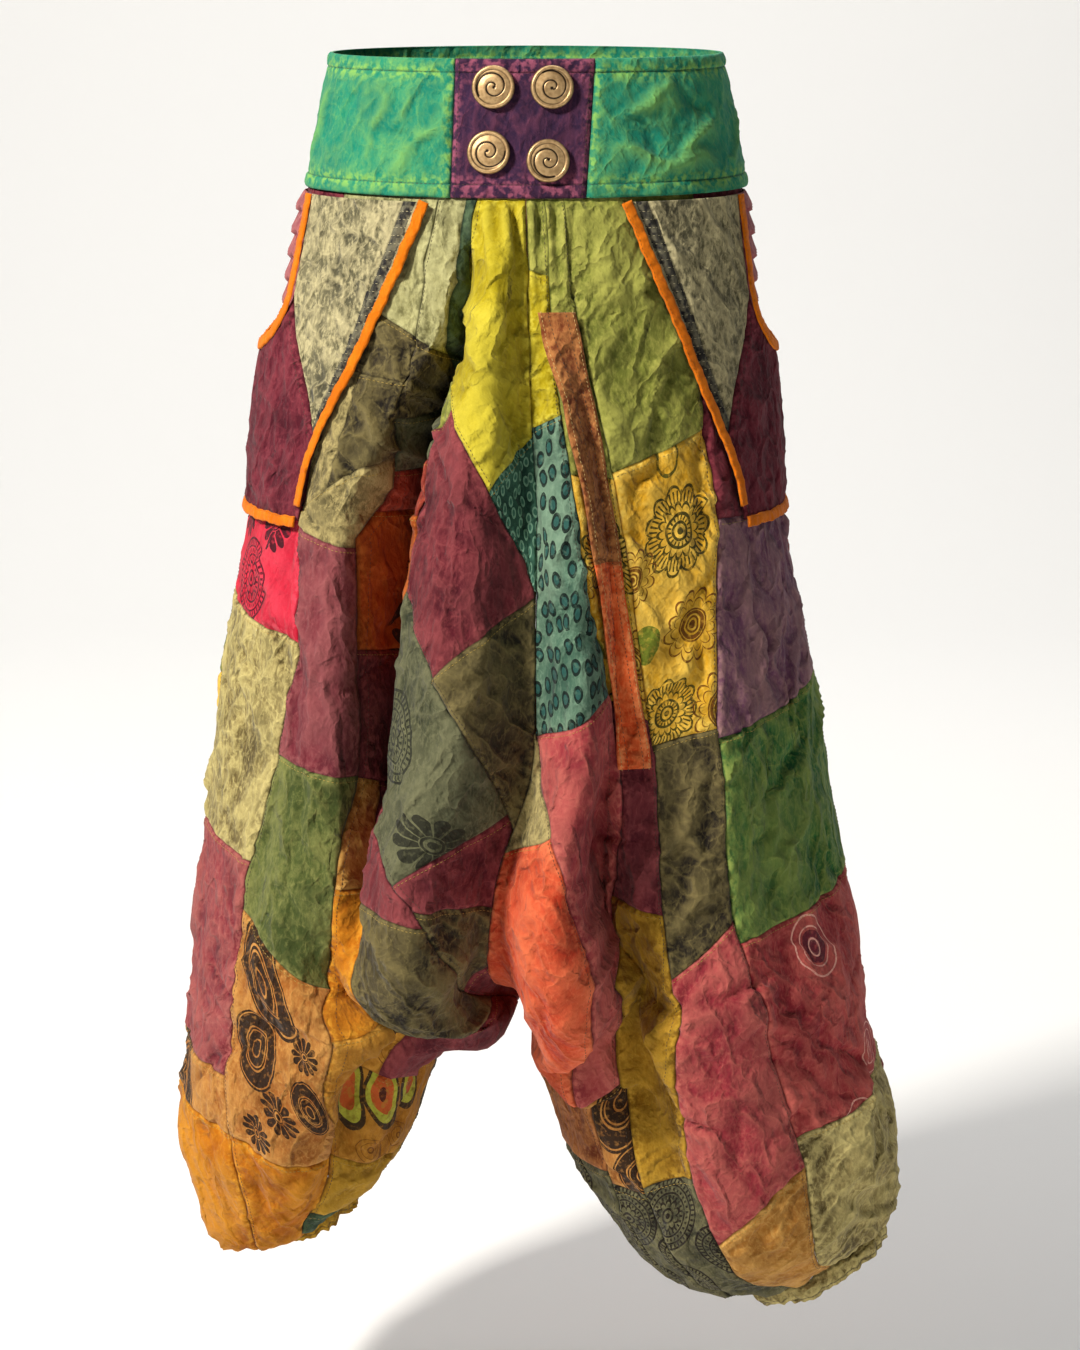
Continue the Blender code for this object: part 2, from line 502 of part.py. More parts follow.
def leaf_places(back):
    places = []
    for t in (POCKET_TOP, 0.04, 0.085, 0.12, 0.16, LEAF_END):
        a, b = line_at(POCKET_FRONT, t), line_at(LEAF_EDGE, t) - 0.0006
        row = [(a + (b - a) * k / 4, t) for k in range(5)]
        places.append([(mirrored(s, back), u, pocket_lift(s, u)) for s, u in row])
    return places


def bag_places():
    """Rows from the mouth to the hem; every row runs round the side from front edge to back edge."""
    places = []
    edge_t = (0.085, 0.12, 0.16, LEAF_END, 0.23, POCKET_HEM)
    for v, t in enumerate(edge_t):
        line = LEAF_EDGE if t <= LEAF_END else POCKET_FRONT
        s_front = line_at(line, t) + 0.0006
        fade = 1 - v / (len(edge_t) - 1)
        row = []
        for k in range(9):
            u = k / 8
            s = s_front + (1 - 2 * s_front) * u
            low = t + (MOUTH_LOW - MOUTH_TURN) * fade * math.sin(math.pi * u)**0.7
            row.append((s, low, pocket_lift(s, low)))
        places.append(row)
    return places


def along(line, width, side, lift, thick, name, cloth):
    """A flat binding of even width along a line of (s, t), lying lift(s, t) over the sheet."""
    outer, inner = [], []
    for i, (s, t) in enumerate(line):
        before, after = line[max(i - 1, 0)], line[min(i + 1, len(line) - 1)]
        here = on_sheet(side, s, t, lift(s, t))
        tangent = on_sheet(side, *after, lift(*after)) - on_sheet(side, *before, lift(*before))
        normal = on_sheet(side, s, t, 1.0) - on_sheet(side, s, t)
        across = np.cross(tangent, normal)
        across *= width / 2 / np.linalg.norm(across)
        outer.append([here - across + normal * thick, here + across + normal * thick])
        inner.append([here - across, here + across])
    return wall(name, outer, inner, cloth)


def mouth_line():
    down = [(MOUTH_SIDE, t) for t in (POCKET_TOP, 0.045)] + [(0.411, 0.085)]
    turn = [(0.424, 0.108), (0.455, 0.128)]
    front = down + turn
    return front + [(0.5, MOUTH_LOW)] + [(1 - s, t) for s, t in reversed(front)]


def over_pocket(s, t):
    return pocket_lift(s, t) + BINDING_WALL + 0.0018


for side_name in STRIPS:
    s0, s1, low = TUCK_PANEL
    panel = [[(s0 + (s1 - s0) * k / 6, t, 0.0) for k in range(7)] for t in (POCKET_TOP, 0.05, 0.10, low)]
    sheet_wall(f"{side_name}_pocket_tuck_panel", side_name, panel, "plum", near=0.0010, thick=0.0010)
    for back, word in ((False, "front"), (True, "back")):
        sheet_wall(f"{side_name}_pocket_{word}_leaf", side_name, leaf_places(back), "grey wash",
                   thick=BINDING_WALL)
        edge = [(mirrored(line_at(POCKET_FRONT, t), back), t)
                for t in (POCKET_TOP, 0.05, 0.10, 0.14, 0.18, 0.22, 0.25)]
        along(edge, BINDING_WIDTH, side_name, over_pocket, BINDING_WALL,
              f"{side_name}_pocket_{word}_binding", "orange")
    sheet_wall(f"{side_name}_pocket_bag", side_name, bag_places(), "maroon", thick=BINDING_WALL)
    along(mouth_line(), BINDING_WIDTH, side_name, over_pocket, BINDING_WALL,
          f"{side_name}_pocket_mouth_binding", "orange")
    hem = [(0.318 + 0.364 * k / 10, POCKET_HEM + 0.008) for k in range(11)]
    along(hem, BINDING_WIDTH, side_name, over_pocket, BINDING_WALL,
          f"{side_name}_pocket_hem_binding", "orange")

# ---- strap ----------------------------------------------------------------------------------------
def strap_places():
    places = []
    for t in (0.088, 0.11, 0.14, 0.18, 0.22, 0.27, 0.31, 0.37, 0.43, 0.462):
        middle = float(np.interp(t, [row[0] for row in STRAP], [row[1] for row in STRAP]))
        width = float(np.interp(t, [row[0] for row in STRAP], [row[2] for row in STRAP]))
        half = width / 2 / girth("left", t)
        places.append([(middle + half * k, t) for k in (-1, -0.5, 0, 0.5, 1)])
    return places


sheet_wall("front_strap", "left", strap_places(), "brown strap", near=0.0038)

# ---- waistband ------------------------------------------------------------------------------------
def build_band():
    """The band's left half; the right half is its mirror image."""
    s, t = np.linspace(0, 1, 201), np.linspace(0, 1, 41)
    return plain_sheet(BAND_LEVELS, s, t)


BAND = build_band()


def on_band(side, s, t, out=0.0):
    """A point of the band's outer face, or one moved out from it."""
    i, j = min(max(s, 0), 1) * 200, min(max(t, 0), 1) * 40
    a, b = min(int(i), 199), min(int(j), 39)
    u, v = i - a, j - b
    near = BAND[a, b] * (1 - v) + BAND[a, b + 1] * v
    far = BAND[a + 1, b] * (1 - v) + BAND[a + 1, b + 1] * v
    here = near * (1 - u) + far * u
    middle = np.array([0.0, 0.0, here[2]])
    squash = np.array([1 / WAIST_HALF_WIDTH**2, 1 / WAIST_HALF_DEPTH**2, 0.0])
    normal = (here - middle) * squash
    here = here + normal / np.linalg.norm(normal) * out
    return here if side == "left" else here * np.array([-1.0, 1.0, 1.0])


def panel_edge(side, t):
    top, bottom = CENTRE_PANEL_EDGE[side]
    return (top + (bottom - top) * t) * (1 if side == "left" else -1)


def band_wall(name, edges, columns, cloth):
    """A band piece between two edges, each a function of t giving (side, s) as a signed place."""
    gap = SEAM_GAP / 2 / 0.42
    outer, inner = [], []
    for t in (0.0, 0.33, 0.67, 1.0):
        a, b = edges[0](t) + gap, edges[1](t) - gap
        places = [a + (b - a) * k / columns for k in range(columns + 1)]
        halves = [("left" if p % 2 < 1 else "right", 1 - abs(1 - p % 2)) for p in places]
        outer.append([on_band(side, s, t) for side, s in halves])
        inner.append([on_band(side, s, t, -BAND_WALL) for side, s in halves])
    wall(name, outer, inner, cloth)


# signed places run from 0 at the front, +1 at the back by way of the left side, -1 by the right
BAND_EDGES = {
    "right_side": lambda t: -BAND_SIDE_SEAM,
    "right_panel": lambda t: panel_edge("right", t),
    "left_panel": lambda t: panel_edge("left", t),
    "left_side": lambda t: BAND_SIDE_SEAM,
    "back_round": lambda t: 2 - BAND_SIDE_SEAM,
}
BandPiece = namedtuple("BandPiece", "name first last columns cloth")
BAND_PIECES = [
    BandPiece("band_front_centre", "right_panel", "left_panel", 6, "purple"),
    BandPiece("band_front_left", "left_panel", "left_side", 9, "teal green"),
    BandPiece("band_front_right", "right_side", "right_panel", 9, "teal green"),
    BandPiece("band_back", "left_side", "back_round", 18, "teal green"),
]
for piece in BAND_PIECES:
    edges = (BAND_EDGES[piece.first], BAND_EDGES[piece.last])
    band_wall(piece.name, edges, piece.columns, piece.cloth)

# ---- buttons: turned discs with a raised rim, a dished ring and a domed middle ------------------------
BUTTON_PROFILE = [(0.00, 1.00), (0.45, 0.93), (0.72, 0.74), (0.82, 0.86), (0.92, 0.84), (1.00, 0.50),
                  (0.93, 0.00), (0.00, 0.00)]   # radius and height as shares of the button's


def add_button(name, x, drop):
    profile = [(r * BUTTON_RADIUS, 0.0, h * BUTTON_THICK) for r, h in BUTTON_PROFILE]
    mesh = bpy.data.meshes.new(name)
    mesh.from_pydata(profile, [(i, i + 1) for i in range(len(profile) - 1)], [])
    mesh.materials.append(MATERIALS["bronze"])
    obj = bpy.data.objects.new(name, mesh)
    COLLECTION.objects.link(obj)
    turn = obj.modifiers.new("turn", "SCREW")
    turn.angle, turn.steps, turn.render_steps = math.tau, 18, 18
    turn.use_merge_vertices, turn.merge_threshold = True, 0.00005
    turn.use_smooth_shade = True
    side, t = ("left" if x > 0 else "right"), drop / BAND_HEIGHT
    s = next(k / 400 for k in range(400) if abs(on_band(side, k / 400, t)[0]) >= abs(x))
    seat = on_band(side, s, t)
    across = on_band(side, s + 0.02, t) - on_band(side, s - 0.02, t)
    facing = Vector(np.cross(across, on_band(side, s, t + 0.1) - on_band(side, s, t - 0.1)))
    facing *= math.copysign(1, -facing.y) / facing.length
    upright = facing.to_track_quat("Z", "Y").to_matrix().to_4x4()
    obj.matrix_world = Matrix.Translation(Vector(seat) + facing * 0.0011) @ upright


for place, (x, drop) in BUTTONS.items():
    add_button(f"button_{place}", x, drop)


# ---- cuffs: an elastic casing round the end of each leg ---------------------------------------------
def add_cuff(side):
    columns = 20
    ring = [on_sheet(side, k / columns, 1.0) for k in range(columns)]
    middle = sum(ring) / columns
    axis = np.cross(ring[columns // 4] - middle, ring[0] - middle)
    axis *= math.copysign(1, -axis[2]) / np.linalg.norm(axis)
    outer, inner = [], []
    for drop in (0.0008, CUFF_HEIGHT / 2, CUFF_HEIGHT):
        belly = 0.96 + 0.04 * math.sin(math.pi * drop / CUFF_HEIGHT)
        outer.append([middle + (p - middle) * belly + axis * drop for p in ring])
        inner.append([middle + (p - middle) * (belly - CUFF_WALL / 0.05) + axis * drop for p in ring])
    wall(f"{side}_cuff", outer, inner, "olive", ring=True)


for side_name in STRIPS:
    add_cuff(side_name)
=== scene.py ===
import math
from collections import namedtuple

import bpy
import numpy as np
from mathutils import Matrix, Vector, noise


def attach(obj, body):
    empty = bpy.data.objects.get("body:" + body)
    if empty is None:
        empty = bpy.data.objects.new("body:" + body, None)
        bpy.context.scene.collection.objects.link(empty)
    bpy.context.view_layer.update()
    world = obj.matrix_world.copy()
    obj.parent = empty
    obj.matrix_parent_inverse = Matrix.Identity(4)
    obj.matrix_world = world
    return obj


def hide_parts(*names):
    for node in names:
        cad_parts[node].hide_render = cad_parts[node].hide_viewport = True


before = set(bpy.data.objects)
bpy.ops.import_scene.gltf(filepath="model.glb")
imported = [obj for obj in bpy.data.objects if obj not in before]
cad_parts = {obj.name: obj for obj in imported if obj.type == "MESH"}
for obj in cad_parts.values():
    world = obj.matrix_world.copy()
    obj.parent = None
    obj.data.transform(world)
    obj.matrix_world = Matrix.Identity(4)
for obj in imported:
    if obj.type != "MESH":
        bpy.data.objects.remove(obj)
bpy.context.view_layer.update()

# ==== Camera and room ========================================================================
# The garment hangs as it is worn, seen straight from the front from a little above its waist.
# A pale seamless floor and soft studio lights: a large key high on the wearer's right, a fill.
CAMERA_AT, CAMERA_AIM = (0.0104, -2.60, 0.13), (0.0104, 0.0, -0.4895)


def put(name, data):
    """A new object in the scene, made of a mesh, a camera or a light."""
    made = bpy.data.objects.new(name, data)
    bpy.context.scene.collection.objects.link(made)
    return made


def aim(thing, at, target):
    """Stands a camera or a light at one place and turns it to another."""
    thing.location = at
    thing.rotation_euler = (Vector(target) - thing.location).to_track_quat("-Z", "Y").to_euler()


camera = put("camera", bpy.data.cameras.new("camera"))
camera.data.lens, camera.data.sensor_width = 89.3, 36
aim(camera, CAMERA_AT, CAMERA_AIM)
bpy.context.scene.camera = camera
bpy.context.scene.view_settings.view_transform = "Standard"

Light = namedtuple("Light", "name at target size watts colour")
LIGHTS = [
    Light("key", (-2.10, -1.90, 2.05), (0.0, 0.0, -0.50), 0.50, 200, (1.0, 0.965, 0.90)),
    Light("fill", (2.4, -2.4, -0.1), (0.0, 0.0, -0.50), 2.0, 5, (0.95, 0.97, 1.0)),
    Light("back", (0.8, 2.2, 1.6), (0.0, 0.0, -0.50), 1.5, 8, (1.0, 1.0, 1.0)),
    Light("backdrop", (0.0, 1.9, 3.6), (0.0, 4.4, -0.40), 3.5, 130, (1.0, 1.0, 1.0)),
]
for light in LIGHTS:
    lamp = put(light.name, bpy.data.lights.new(light.name, "AREA"))
    lamp.data.size, lamp.data.energy, lamp.data.color = light.size, light.watts, light.colour
    aim(lamp, light.at, light.target)

world = bpy.data.worlds.new("studio")
bpy.context.scene.world = world
world.use_nodes = True
daylight = world.node_tree.nodes["Background"].inputs
daylight["Color"].default_value, daylight["Strength"].default_value = (1, 1, 1, 1), 0.06


def srgb(hex_colour):
    """A colour written as sRGB hex, made linear."""
    parts = [int(hex_colour[i:i + 2], 16) / 255 for i in (1, 3, 5)]
    return (*[c / 12.92 if c <= 0.04045 else ((c + 0.055) / 1.055)**2.4 for c in parts], 1.0)


def add(tree, kind, ins=None, out=0, **settings):
    """Adds a node with its settings; ins maps an input to a value or to the socket that feeds it."""
    node = tree.nodes.new(kind)
    for name, value in settings.items():
        setattr(node, name, value)
    for key, value in (ins or {}).items():
        if isinstance(value, bpy.types.NodeSocket):
            tree.links.new(value, node.inputs[key])
        else:
            node.inputs[key].default_value = value
    return node.outputs[out]


def surface(name, settings):
    """A new material with these settings of its shader, its node tree and the shader itself."""
    material = bpy.data.materials.new(name)
    material.use_nodes = True
    shader = material.node_tree.nodes["Principled BSDF"]
    for key, value in settings.items():
        shader.inputs[key].default_value = value
    return material, material.node_tree, shader


FLOOR_LEVEL = -1.13      # the soles of whoever would wear it are about here
FLOOR_REACH = 14.0
COVE_START, COVE_RADIUS, COVE_TOP = 3.0, 1.6, 6.0     # the floor curves up into a plain backdrop
COVE_STEPS = 24
profile = [(-FLOOR_REACH, FLOOR_LEVEL)]
for k in range(COVE_STEPS + 1):
    climb = math.pi / 2 * k / COVE_STEPS
    profile.append((COVE_START + COVE_RADIUS * math.sin(climb),
                    FLOOR_LEVEL + COVE_RADIUS * (1 - math.cos(climb))))
profile.append((COVE_START + COVE_RADIUS, COVE_TOP))
floor_mesh = bpy.data.meshes.new("floor")
floor_mesh.from_pydata([(x, y, z) for y, z in profile for x in (-FLOOR_REACH, FLOOR_REACH)], [],
                       [(2 * i, 2 * i + 1, 2 * i + 3, 2 * i + 2) for i in range(len(profile) - 1)])
floor_mesh.polygons.foreach_set("use_smooth", [True] * len(floor_mesh.polygons))
floor_mesh.materials.append(surface("matt_white_paint", {"Base Color": srgb("#f4f3f1"), "Roughness": 0.9})[0])
put("floor", floor_mesh)

# ==== The worn shape of the legs ==============================================================
# Two halves of light cotton, joined down the front and the back and, below the crotch, along each
# inseam.  s runs round a half from its front seam over the side to its back seam; t runs from the
# waistband (0) by the crotch to the cuff (1).  These are the solids' own sizes, in metres.
CROTCH = 0.74                  # t where the front, the back and both inseams meet
# One row for each level down the leg: its height at the side and at the seam, the middle and half
# of its depth, the angle left open at the seam, its edges in x, and how much the front hangs lower.
Level = namedtuple("Level", "t z_side z_seam y_mid depth gap x_seam x_side dip")
LEVELS = {
    "right": [
        Level(0.00, -0.1008, -0.1008, 0.000, 0.116, 90, 0.000, -0.168, 0.000),
        Level(0.12, -0.213, -0.213, 0.004, 0.142, 90, 0.003, -0.184, 0.000),
        Level(0.28, -0.365, -0.360, 0.004, 0.162, 90, 0.008, -0.219, 0.000),
        Level(0.44, -0.508, -0.505, 0.002, 0.168, 90, 0.006, -0.244, 0.000),
        Level(0.60, -0.640, -0.632, 0.000, 0.166, 82, -0.026, -0.259, 0.000),
        Level(0.67, -0.690, -0.689, 0.000, 0.160, 60, -0.030, -0.265, 0.000),
        Level(0.74, -0.738, -0.745, 0.000, 0.152, 0, -0.003, -0.270, 0.000),
        Level(0.80, -0.790, -0.796, 0.000, 0.142, 0, -0.070, -0.277, 0.000),
        Level(0.86, -0.842, -0.848, 0.000, 0.130, 0, -0.088, -0.282, 0.002),
        Level(0.92, -0.902, -0.885, 0.000, 0.104, 0, -0.110, -0.273, 0.006),
        Level(0.97, -0.955, -0.918, -0.004, 0.064, 0, -0.150, -0.252, 0.010),
        Level(1.00, -0.950, -0.926, 0.006, 0.042, 0, -0.146, -0.230, 0.000),
    ],
    "left": [
        Level(0.00, -0.1008, -0.1008, 0.000, 0.116, 90, 0.000, 0.166, 0.000),
        Level(0.12, -0.213, -0.213, 0.004, 0.142, 90, 0.003, 0.172, 0.000),
        Level(0.28, -0.365, -0.360, 0.004, 0.162, 90, 0.008, 0.201, 0.000),
        Level(0.44, -0.508, -0.505, 0.002, 0.168, 90, 0.006, 0.229, 0.000),
        Level(0.60, -0.640, -0.632, 0.000, 0.166, 82, -0.026, 0.253, 0.000),
        Level(0.67, -0.690, -0.689, 0.000, 0.160, 60, -0.030, 0.264, 0.000),
        Level(0.74, -0.738, -0.745, 0.000, 0.152, 0, -0.003, 0.271, 0.000),
        Level(0.80, -0.790, -0.808, 0.000, 0.142, 0, 0.014, 0.280, 0.000),
        Level(0.86, -0.840, -0.870, 0.000, 0.136, 0, 0.030, 0.296, 0.000),
        Level(0.92, -0.892, -0.935, 0.000, 0.124, 0, 0.066, 0.303, 0.004),
        Level(0.97, -0.930, -0.988, 0.000, 0.092, 0, 0.112, 0.304, 0.006),
        Level(1.00, -0.945, -1.005, 0.000, 0.050, 0, 0.180, 0.292, 0.006),
    ],
}
# Pleats and drapes, each a ridge (or a trough, below 0) that runs down the cloth: its middle s and
# half width at some t, how far it stands out there, and how far it drops the cloth.
Fold = namedtuple("Fold", "t s half rise sag", defaults=(0.0,))
FOLDS = {
    "right": {
        "centre drape": [Fold(0.00, 0.045, 0.035, 0.000), Fold(0.05, 0.045, 0.040, 0.018),
                         Fold(0.15, 0.062, 0.056, 0.030), Fold(0.31, 0.085, 0.080, 0.040),
                         Fold(0.50, 0.092, 0.088, 0.050), Fold(0.62, 0.090, 0.084, 0.052),
                         Fold(0.69, 0.110, 0.080, 0.040, 0.002), Fold(0.73, 0.122, 0.075, 0.024, 0.005),
                         Fold(0.77, 0.130, 0.065, 0.000)],
        "deep pleat": [Fold(0.02, 0.088, 0.018, 0.000), Fold(0.10, 0.106, 0.026, -0.035),
                       Fold(0.17, 0.160, 0.040, -0.066), Fold(0.27, 0.200, 0.050, -0.088),
                       Fold(0.37, 0.198, 0.042, -0.078), Fold(0.48, 0.192, 0.030, -0.055),
                       Fold(0.58, 0.166, 0.024, -0.030), Fold(0.68, 0.150, 0.024, 0.000)],
        "thigh roll": [Fold(0.10, 0.270, 0.060, 0.000), Fold(0.28, 0.268, 0.060, 0.010),
                       Fold(0.50, 0.250, 0.060, 0.012), Fold(0.80, 0.250, 0.070, 0.008),
                       Fold(0.96, 0.250, 0.070, 0.000)],
        "shin trough": [Fold(0.60, 0.205, 0.030, 0.000), Fold(0.72, 0.190, 0.036, -0.022),
                        Fold(0.86, 0.190, 0.044, -0.024), Fold(0.97, 0.200, 0.050, 0.000)],
        "back trough": [Fold(0.04, 0.900, 0.030, 0.000), Fold(0.16, 0.880, 0.044, -0.026),
                        Fold(0.40, 0.850, 0.060, -0.046), Fold(0.62, 0.850, 0.056, -0.034),
                        Fold(0.80, 0.840, 0.060, 0.000)],
        "back drape": [Fold(0.04, 0.955, 0.030, 0.000), Fold(0.20, 0.945, 0.046, 0.016),
                       Fold(0.50, 0.930, 0.068, 0.034), Fold(0.66, 0.915, 0.066, 0.026, 0.004),
                       Fold(0.78, 0.895, 0.055, 0.000)],
        "back roll": [Fold(0.24, 0.740, 0.050, 0.000), Fold(0.48, 0.735, 0.056, 0.014),
                      Fold(0.76, 0.740, 0.060, 0.012), Fold(0.95, 0.740, 0.060, 0.000)],
    },
    "left": {
        "centre drape": [Fold(0.10, 0.030, 0.028, 0.000), Fold(0.20, 0.042, 0.040, 0.018),
                         Fold(0.31, 0.048, 0.046, 0.030), Fold(0.46, 0.052, 0.050, 0.044),
                         Fold(0.58, 0.064, 0.060, 0.050), Fold(0.67, 0.082, 0.065, 0.044, 0.006),
                         Fold(0.73, 0.116, 0.062, 0.028, 0.022), Fold(0.765, 0.132, 0.056, 0.014, 0.036),
                         Fold(0.80, 0.134, 0.052, 0.000)],
        "inner pleat": [Fold(0.42, 0.078, 0.018, 0.000), Fold(0.49, 0.086, 0.024, -0.026),
                        Fold(0.53, 0.102, 0.032, -0.038), Fold(0.58, 0.122, 0.036, -0.048),
                        Fold(0.70, 0.155, 0.044, -0.046),
                        Fold(0.80, 0.175, 0.050, -0.030), Fold(0.92, 0.180, 0.050, 0.000)],
        "thigh roll": [Fold(0.20, 0.250, 0.070, 0.000), Fold(0.46, 0.245, 0.070, 0.012),
                       Fold(0.76, 0.255, 0.070, 0.014), Fold(0.95, 0.260, 0.060, 0.000)],
        "knee tuck": [Fold(0.80, 0.400, 0.060, 0.000), Fold(0.88, 0.400, 0.080, 0.012, 0.010),
                      Fold(0.93, 0.400, 0.080, -0.010), Fold(0.98, 0.400, 0.060, 0.000)],
        "back trough": [Fold(0.06, 0.905, 0.030, 0.000), Fold(0.22, 0.885, 0.046, -0.030),
                        Fold(0.44, 0.865, 0.056, -0.040), Fold(0.66, 0.855, 0.056, -0.030),
                        Fold(0.84, 0.850, 0.060, 0.000)],
        "back drape": [Fold(0.06, 0.955, 0.030, 0.000), Fold(0.26, 0.945, 0.046, 0.018),
                       Fold(0.50, 0.935, 0.060, 0.030), Fold(0.68, 0.912, 0.064, 0.026, 0.006),
                       Fold(0.79, 0.890, 0.055, 0.000)],
        "back roll": [Fold(0.20, 0.730, 0.050, 0.000), Fold(0.44, 0.740, 0.056, 0.012),
                      Fold(0.72, 0.745, 0.060, 0.014), Fold(0.94, 0.740, 0.060, 0.000)],
    },
}
# Creases pressed in by wear, from (t0, s0) to (t1, s1): half width and rise in metres.
Crease = namedtuple("Crease", "t0 s0 t1 s1 width rise")
CREASES = {
    "right": [
        Crease(0.02, 0.165, 0.10, 0.135, 0.007, 0.0030), Crease(0.03, 0.190, 0.17, 0.185, 0.009, -0.0030),
        Crease(0.12, 0.215, 0.22, 0.250, 0.008, 0.0026), Crease(0.30, 0.262, 0.44, 0.240, 0.010, 0.0032),
        Crease(0.34, 0.300, 0.47, 0.282, 0.008, -0.0028), Crease(0.45, 0.270, 0.62, 0.250, 0.010, -0.0034),
        Crease(0.50, 0.345, 0.66, 0.318, 0.009, 0.0030), Crease(0.38, 0.420, 0.52, 0.385, 0.009, -0.0032),
        Crease(0.55, 0.455, 0.72, 0.420, 0.011, 0.0034), Crease(0.66, 0.400, 0.80, 0.372, 0.009, -0.0030),
        Crease(0.04, 0.022, 0.14, 0.040, 0.006, -0.0030), Crease(0.08, 0.060, 0.26, 0.056, 0.008, 0.0032),
        Crease(0.16, 0.028, 0.28, 0.014, 0.007, -0.0026), Crease(0.20, 0.115, 0.36, 0.085, 0.008, -0.0034),
        Crease(0.33, 0.060, 0.46, 0.085, 0.009, 0.0030), Crease(0.42, 0.128, 0.60, 0.105, 0.010, 0.0036),
        Crease(0.50, 0.050, 0.64, 0.060, 0.008, -0.0034), Crease(0.60, 0.025, 0.72, 0.095, 0.009, 0.0034),
        Crease(0.66, 0.060, 0.73, 0.150, 0.008, -0.0034), Crease(0.69, 0.040, 0.745, 0.110, 0.006, 0.0028),
        Crease(0.76, 0.240, 0.86, 0.320, 0.010, -0.0036), Crease(0.80, 0.215, 0.93, 0.270, 0.009, 0.0034),
        Crease(0.84, 0.330, 0.96, 0.300, 0.009, -0.0034), Crease(0.86, 0.470, 0.96, 0.390, 0.010, 0.0038),
        Crease(0.70, 0.330, 0.76, 0.440, 0.010, 0.0036), Crease(0.78, 0.450, 0.84, 0.560, 0.010, -0.0038),
        Crease(0.88, 0.100, 0.95, 0.180, 0.008, 0.0030), Crease(0.79, 0.090, 0.88, 0.140, 0.008, -0.0030),
        Crease(0.30, 0.580, 0.48, 0.560, 0.010, 0.0032), Crease(0.44, 0.640, 0.62, 0.610, 0.010, -0.0034),
        Crease(0.28, 0.760, 0.46, 0.800, 0.011, -0.0034), Crease(0.10, 0.800, 0.28, 0.830, 0.009, 0.0030),
        Crease(0.50, 0.900, 0.66, 0.880, 0.010, 0.0036), Crease(0.36, 0.960, 0.58, 0.940, 0.009, -0.0030),
        Crease(0.62, 0.700, 0.78, 0.740, 0.011, 0.0034), Crease(0.80, 0.640, 0.94, 0.690, 0.010, -0.0036),
        Crease(0.70, 0.800, 0.84, 0.760, 0.010, -0.0030), Crease(0.84, 0.860, 0.95, 0.800, 0.009, 0.0034),
    ],
    "left": [
        Crease(0.080, 0.105, 0.066, 0.165, 0.006, 0.0040), Crease(0.10, 0.110, 0.088, 0.172, 0.006, -0.0034),
        Crease(0.02, 0.120, 0.12, 0.150, 0.007, 0.0026), Crease(0.12, 0.150, 0.20, 0.205, 0.008, -0.0028),
        Crease(0.14, 0.205, 0.20, 0.150, 0.007, 0.0026), Crease(0.24, 0.185, 0.30, 0.232, 0.008, 0.0024),
        Crease(0.30, 0.230, 0.42, 0.205, 0.009, -0.0028), Crease(0.40, 0.180, 0.44, 0.232, 0.007, 0.0026),
        Crease(0.46, 0.200, 0.60, 0.225, 0.009, 0.0036), Crease(0.48, 0.240, 0.62, 0.205, 0.008, -0.0032),
        Crease(0.52, 0.215, 0.56, 0.160, 0.006, 0.0030), Crease(0.66, 0.215, 0.82, 0.250, 0.010, 0.0036),
        Crease(0.72, 0.260, 0.90, 0.270, 0.010, -0.0038), Crease(0.80, 0.225, 0.92, 0.300, 0.009, 0.0034),
        Crease(0.86, 0.310, 0.95, 0.240, 0.009, -0.0036), Crease(0.28, 0.300, 0.42, 0.330, 0.009, 0.0030),
        Crease(0.34, 0.400, 0.48, 0.360, 0.009, -0.0032), Crease(0.46, 0.300, 0.60, 0.340, 0.011, 0.0036),
        Crease(0.52, 0.400, 0.68, 0.420, 0.010, -0.0034), Crease(0.62, 0.350, 0.74, 0.400, 0.010, 0.0034),
        Crease(0.74, 0.340, 0.84, 0.460, 0.010, -0.0040), Crease(0.78, 0.440, 0.88, 0.360, 0.010, 0.0040),
        Crease(0.83, 0.480, 0.92, 0.400, 0.010, -0.0040), Crease(0.90, 0.340, 0.97, 0.430, 0.008, 0.0040),
        Crease(0.20, 0.020, 0.34, 0.030, 0.007, 0.0030), Crease(0.26, 0.060, 0.34, 0.030, 0.006, -0.0030),
        Crease(0.33, 0.012, 0.35, 0.080, 0.006, -0.0032), Crease(0.42, 0.020, 0.56, 0.060, 0.008, 0.0034),
        Crease(0.48, 0.070, 0.66, 0.105, 0.009, -0.0034), Crease(0.56, 0.030, 0.68, 0.060, 0.008, 0.0034),
        Crease(0.62, 0.020, 0.70, 0.100, 0.008, -0.0036), Crease(0.68, 0.050, 0.745, 0.120, 0.007, 0.0032),
        Crease(0.60, 0.148, 0.82, 0.180, 0.008, 0.0036), Crease(0.80, 0.080, 0.90, 0.150, 0.008, -0.0034),
        Crease(0.30, 0.570, 0.46, 0.600, 0.010, -0.0034), Crease(0.46, 0.620, 0.64, 0.580, 0.010, 0.0034),
        Crease(0.26, 0.790, 0.46, 0.760, 0.011, 0.0034), Crease(0.12, 0.820, 0.30, 0.800, 0.009, -0.0030),
        Crease(0.52, 0.900, 0.68, 0.920, 0.010, -0.0034), Crease(0.34, 0.940, 0.54, 0.955, 0.009, 0.0030),
        Crease(0.64, 0.720, 0.80, 0.690, 0.011, -0.0034), Crease(0.82, 0.620, 0.95, 0.680, 0.010, 0.0038),
        Crease(0.72, 0.780, 0.86, 0.820, 0.010, 0.0032), Crease(0.86, 0.760, 0.96, 0.840, 0.009, -0.0036),
    ],
}
GRID = 421                     # points each way in a half: about 2 mm apart
LEG_LENGTH = 0.95              # down the cloth from waistband to cuff
SWELLS = (0.060, 2.1, 1.7)     # loose swells all over: size, stretch down the cloth and seed
SWELL_HEIGHT = 0.0013
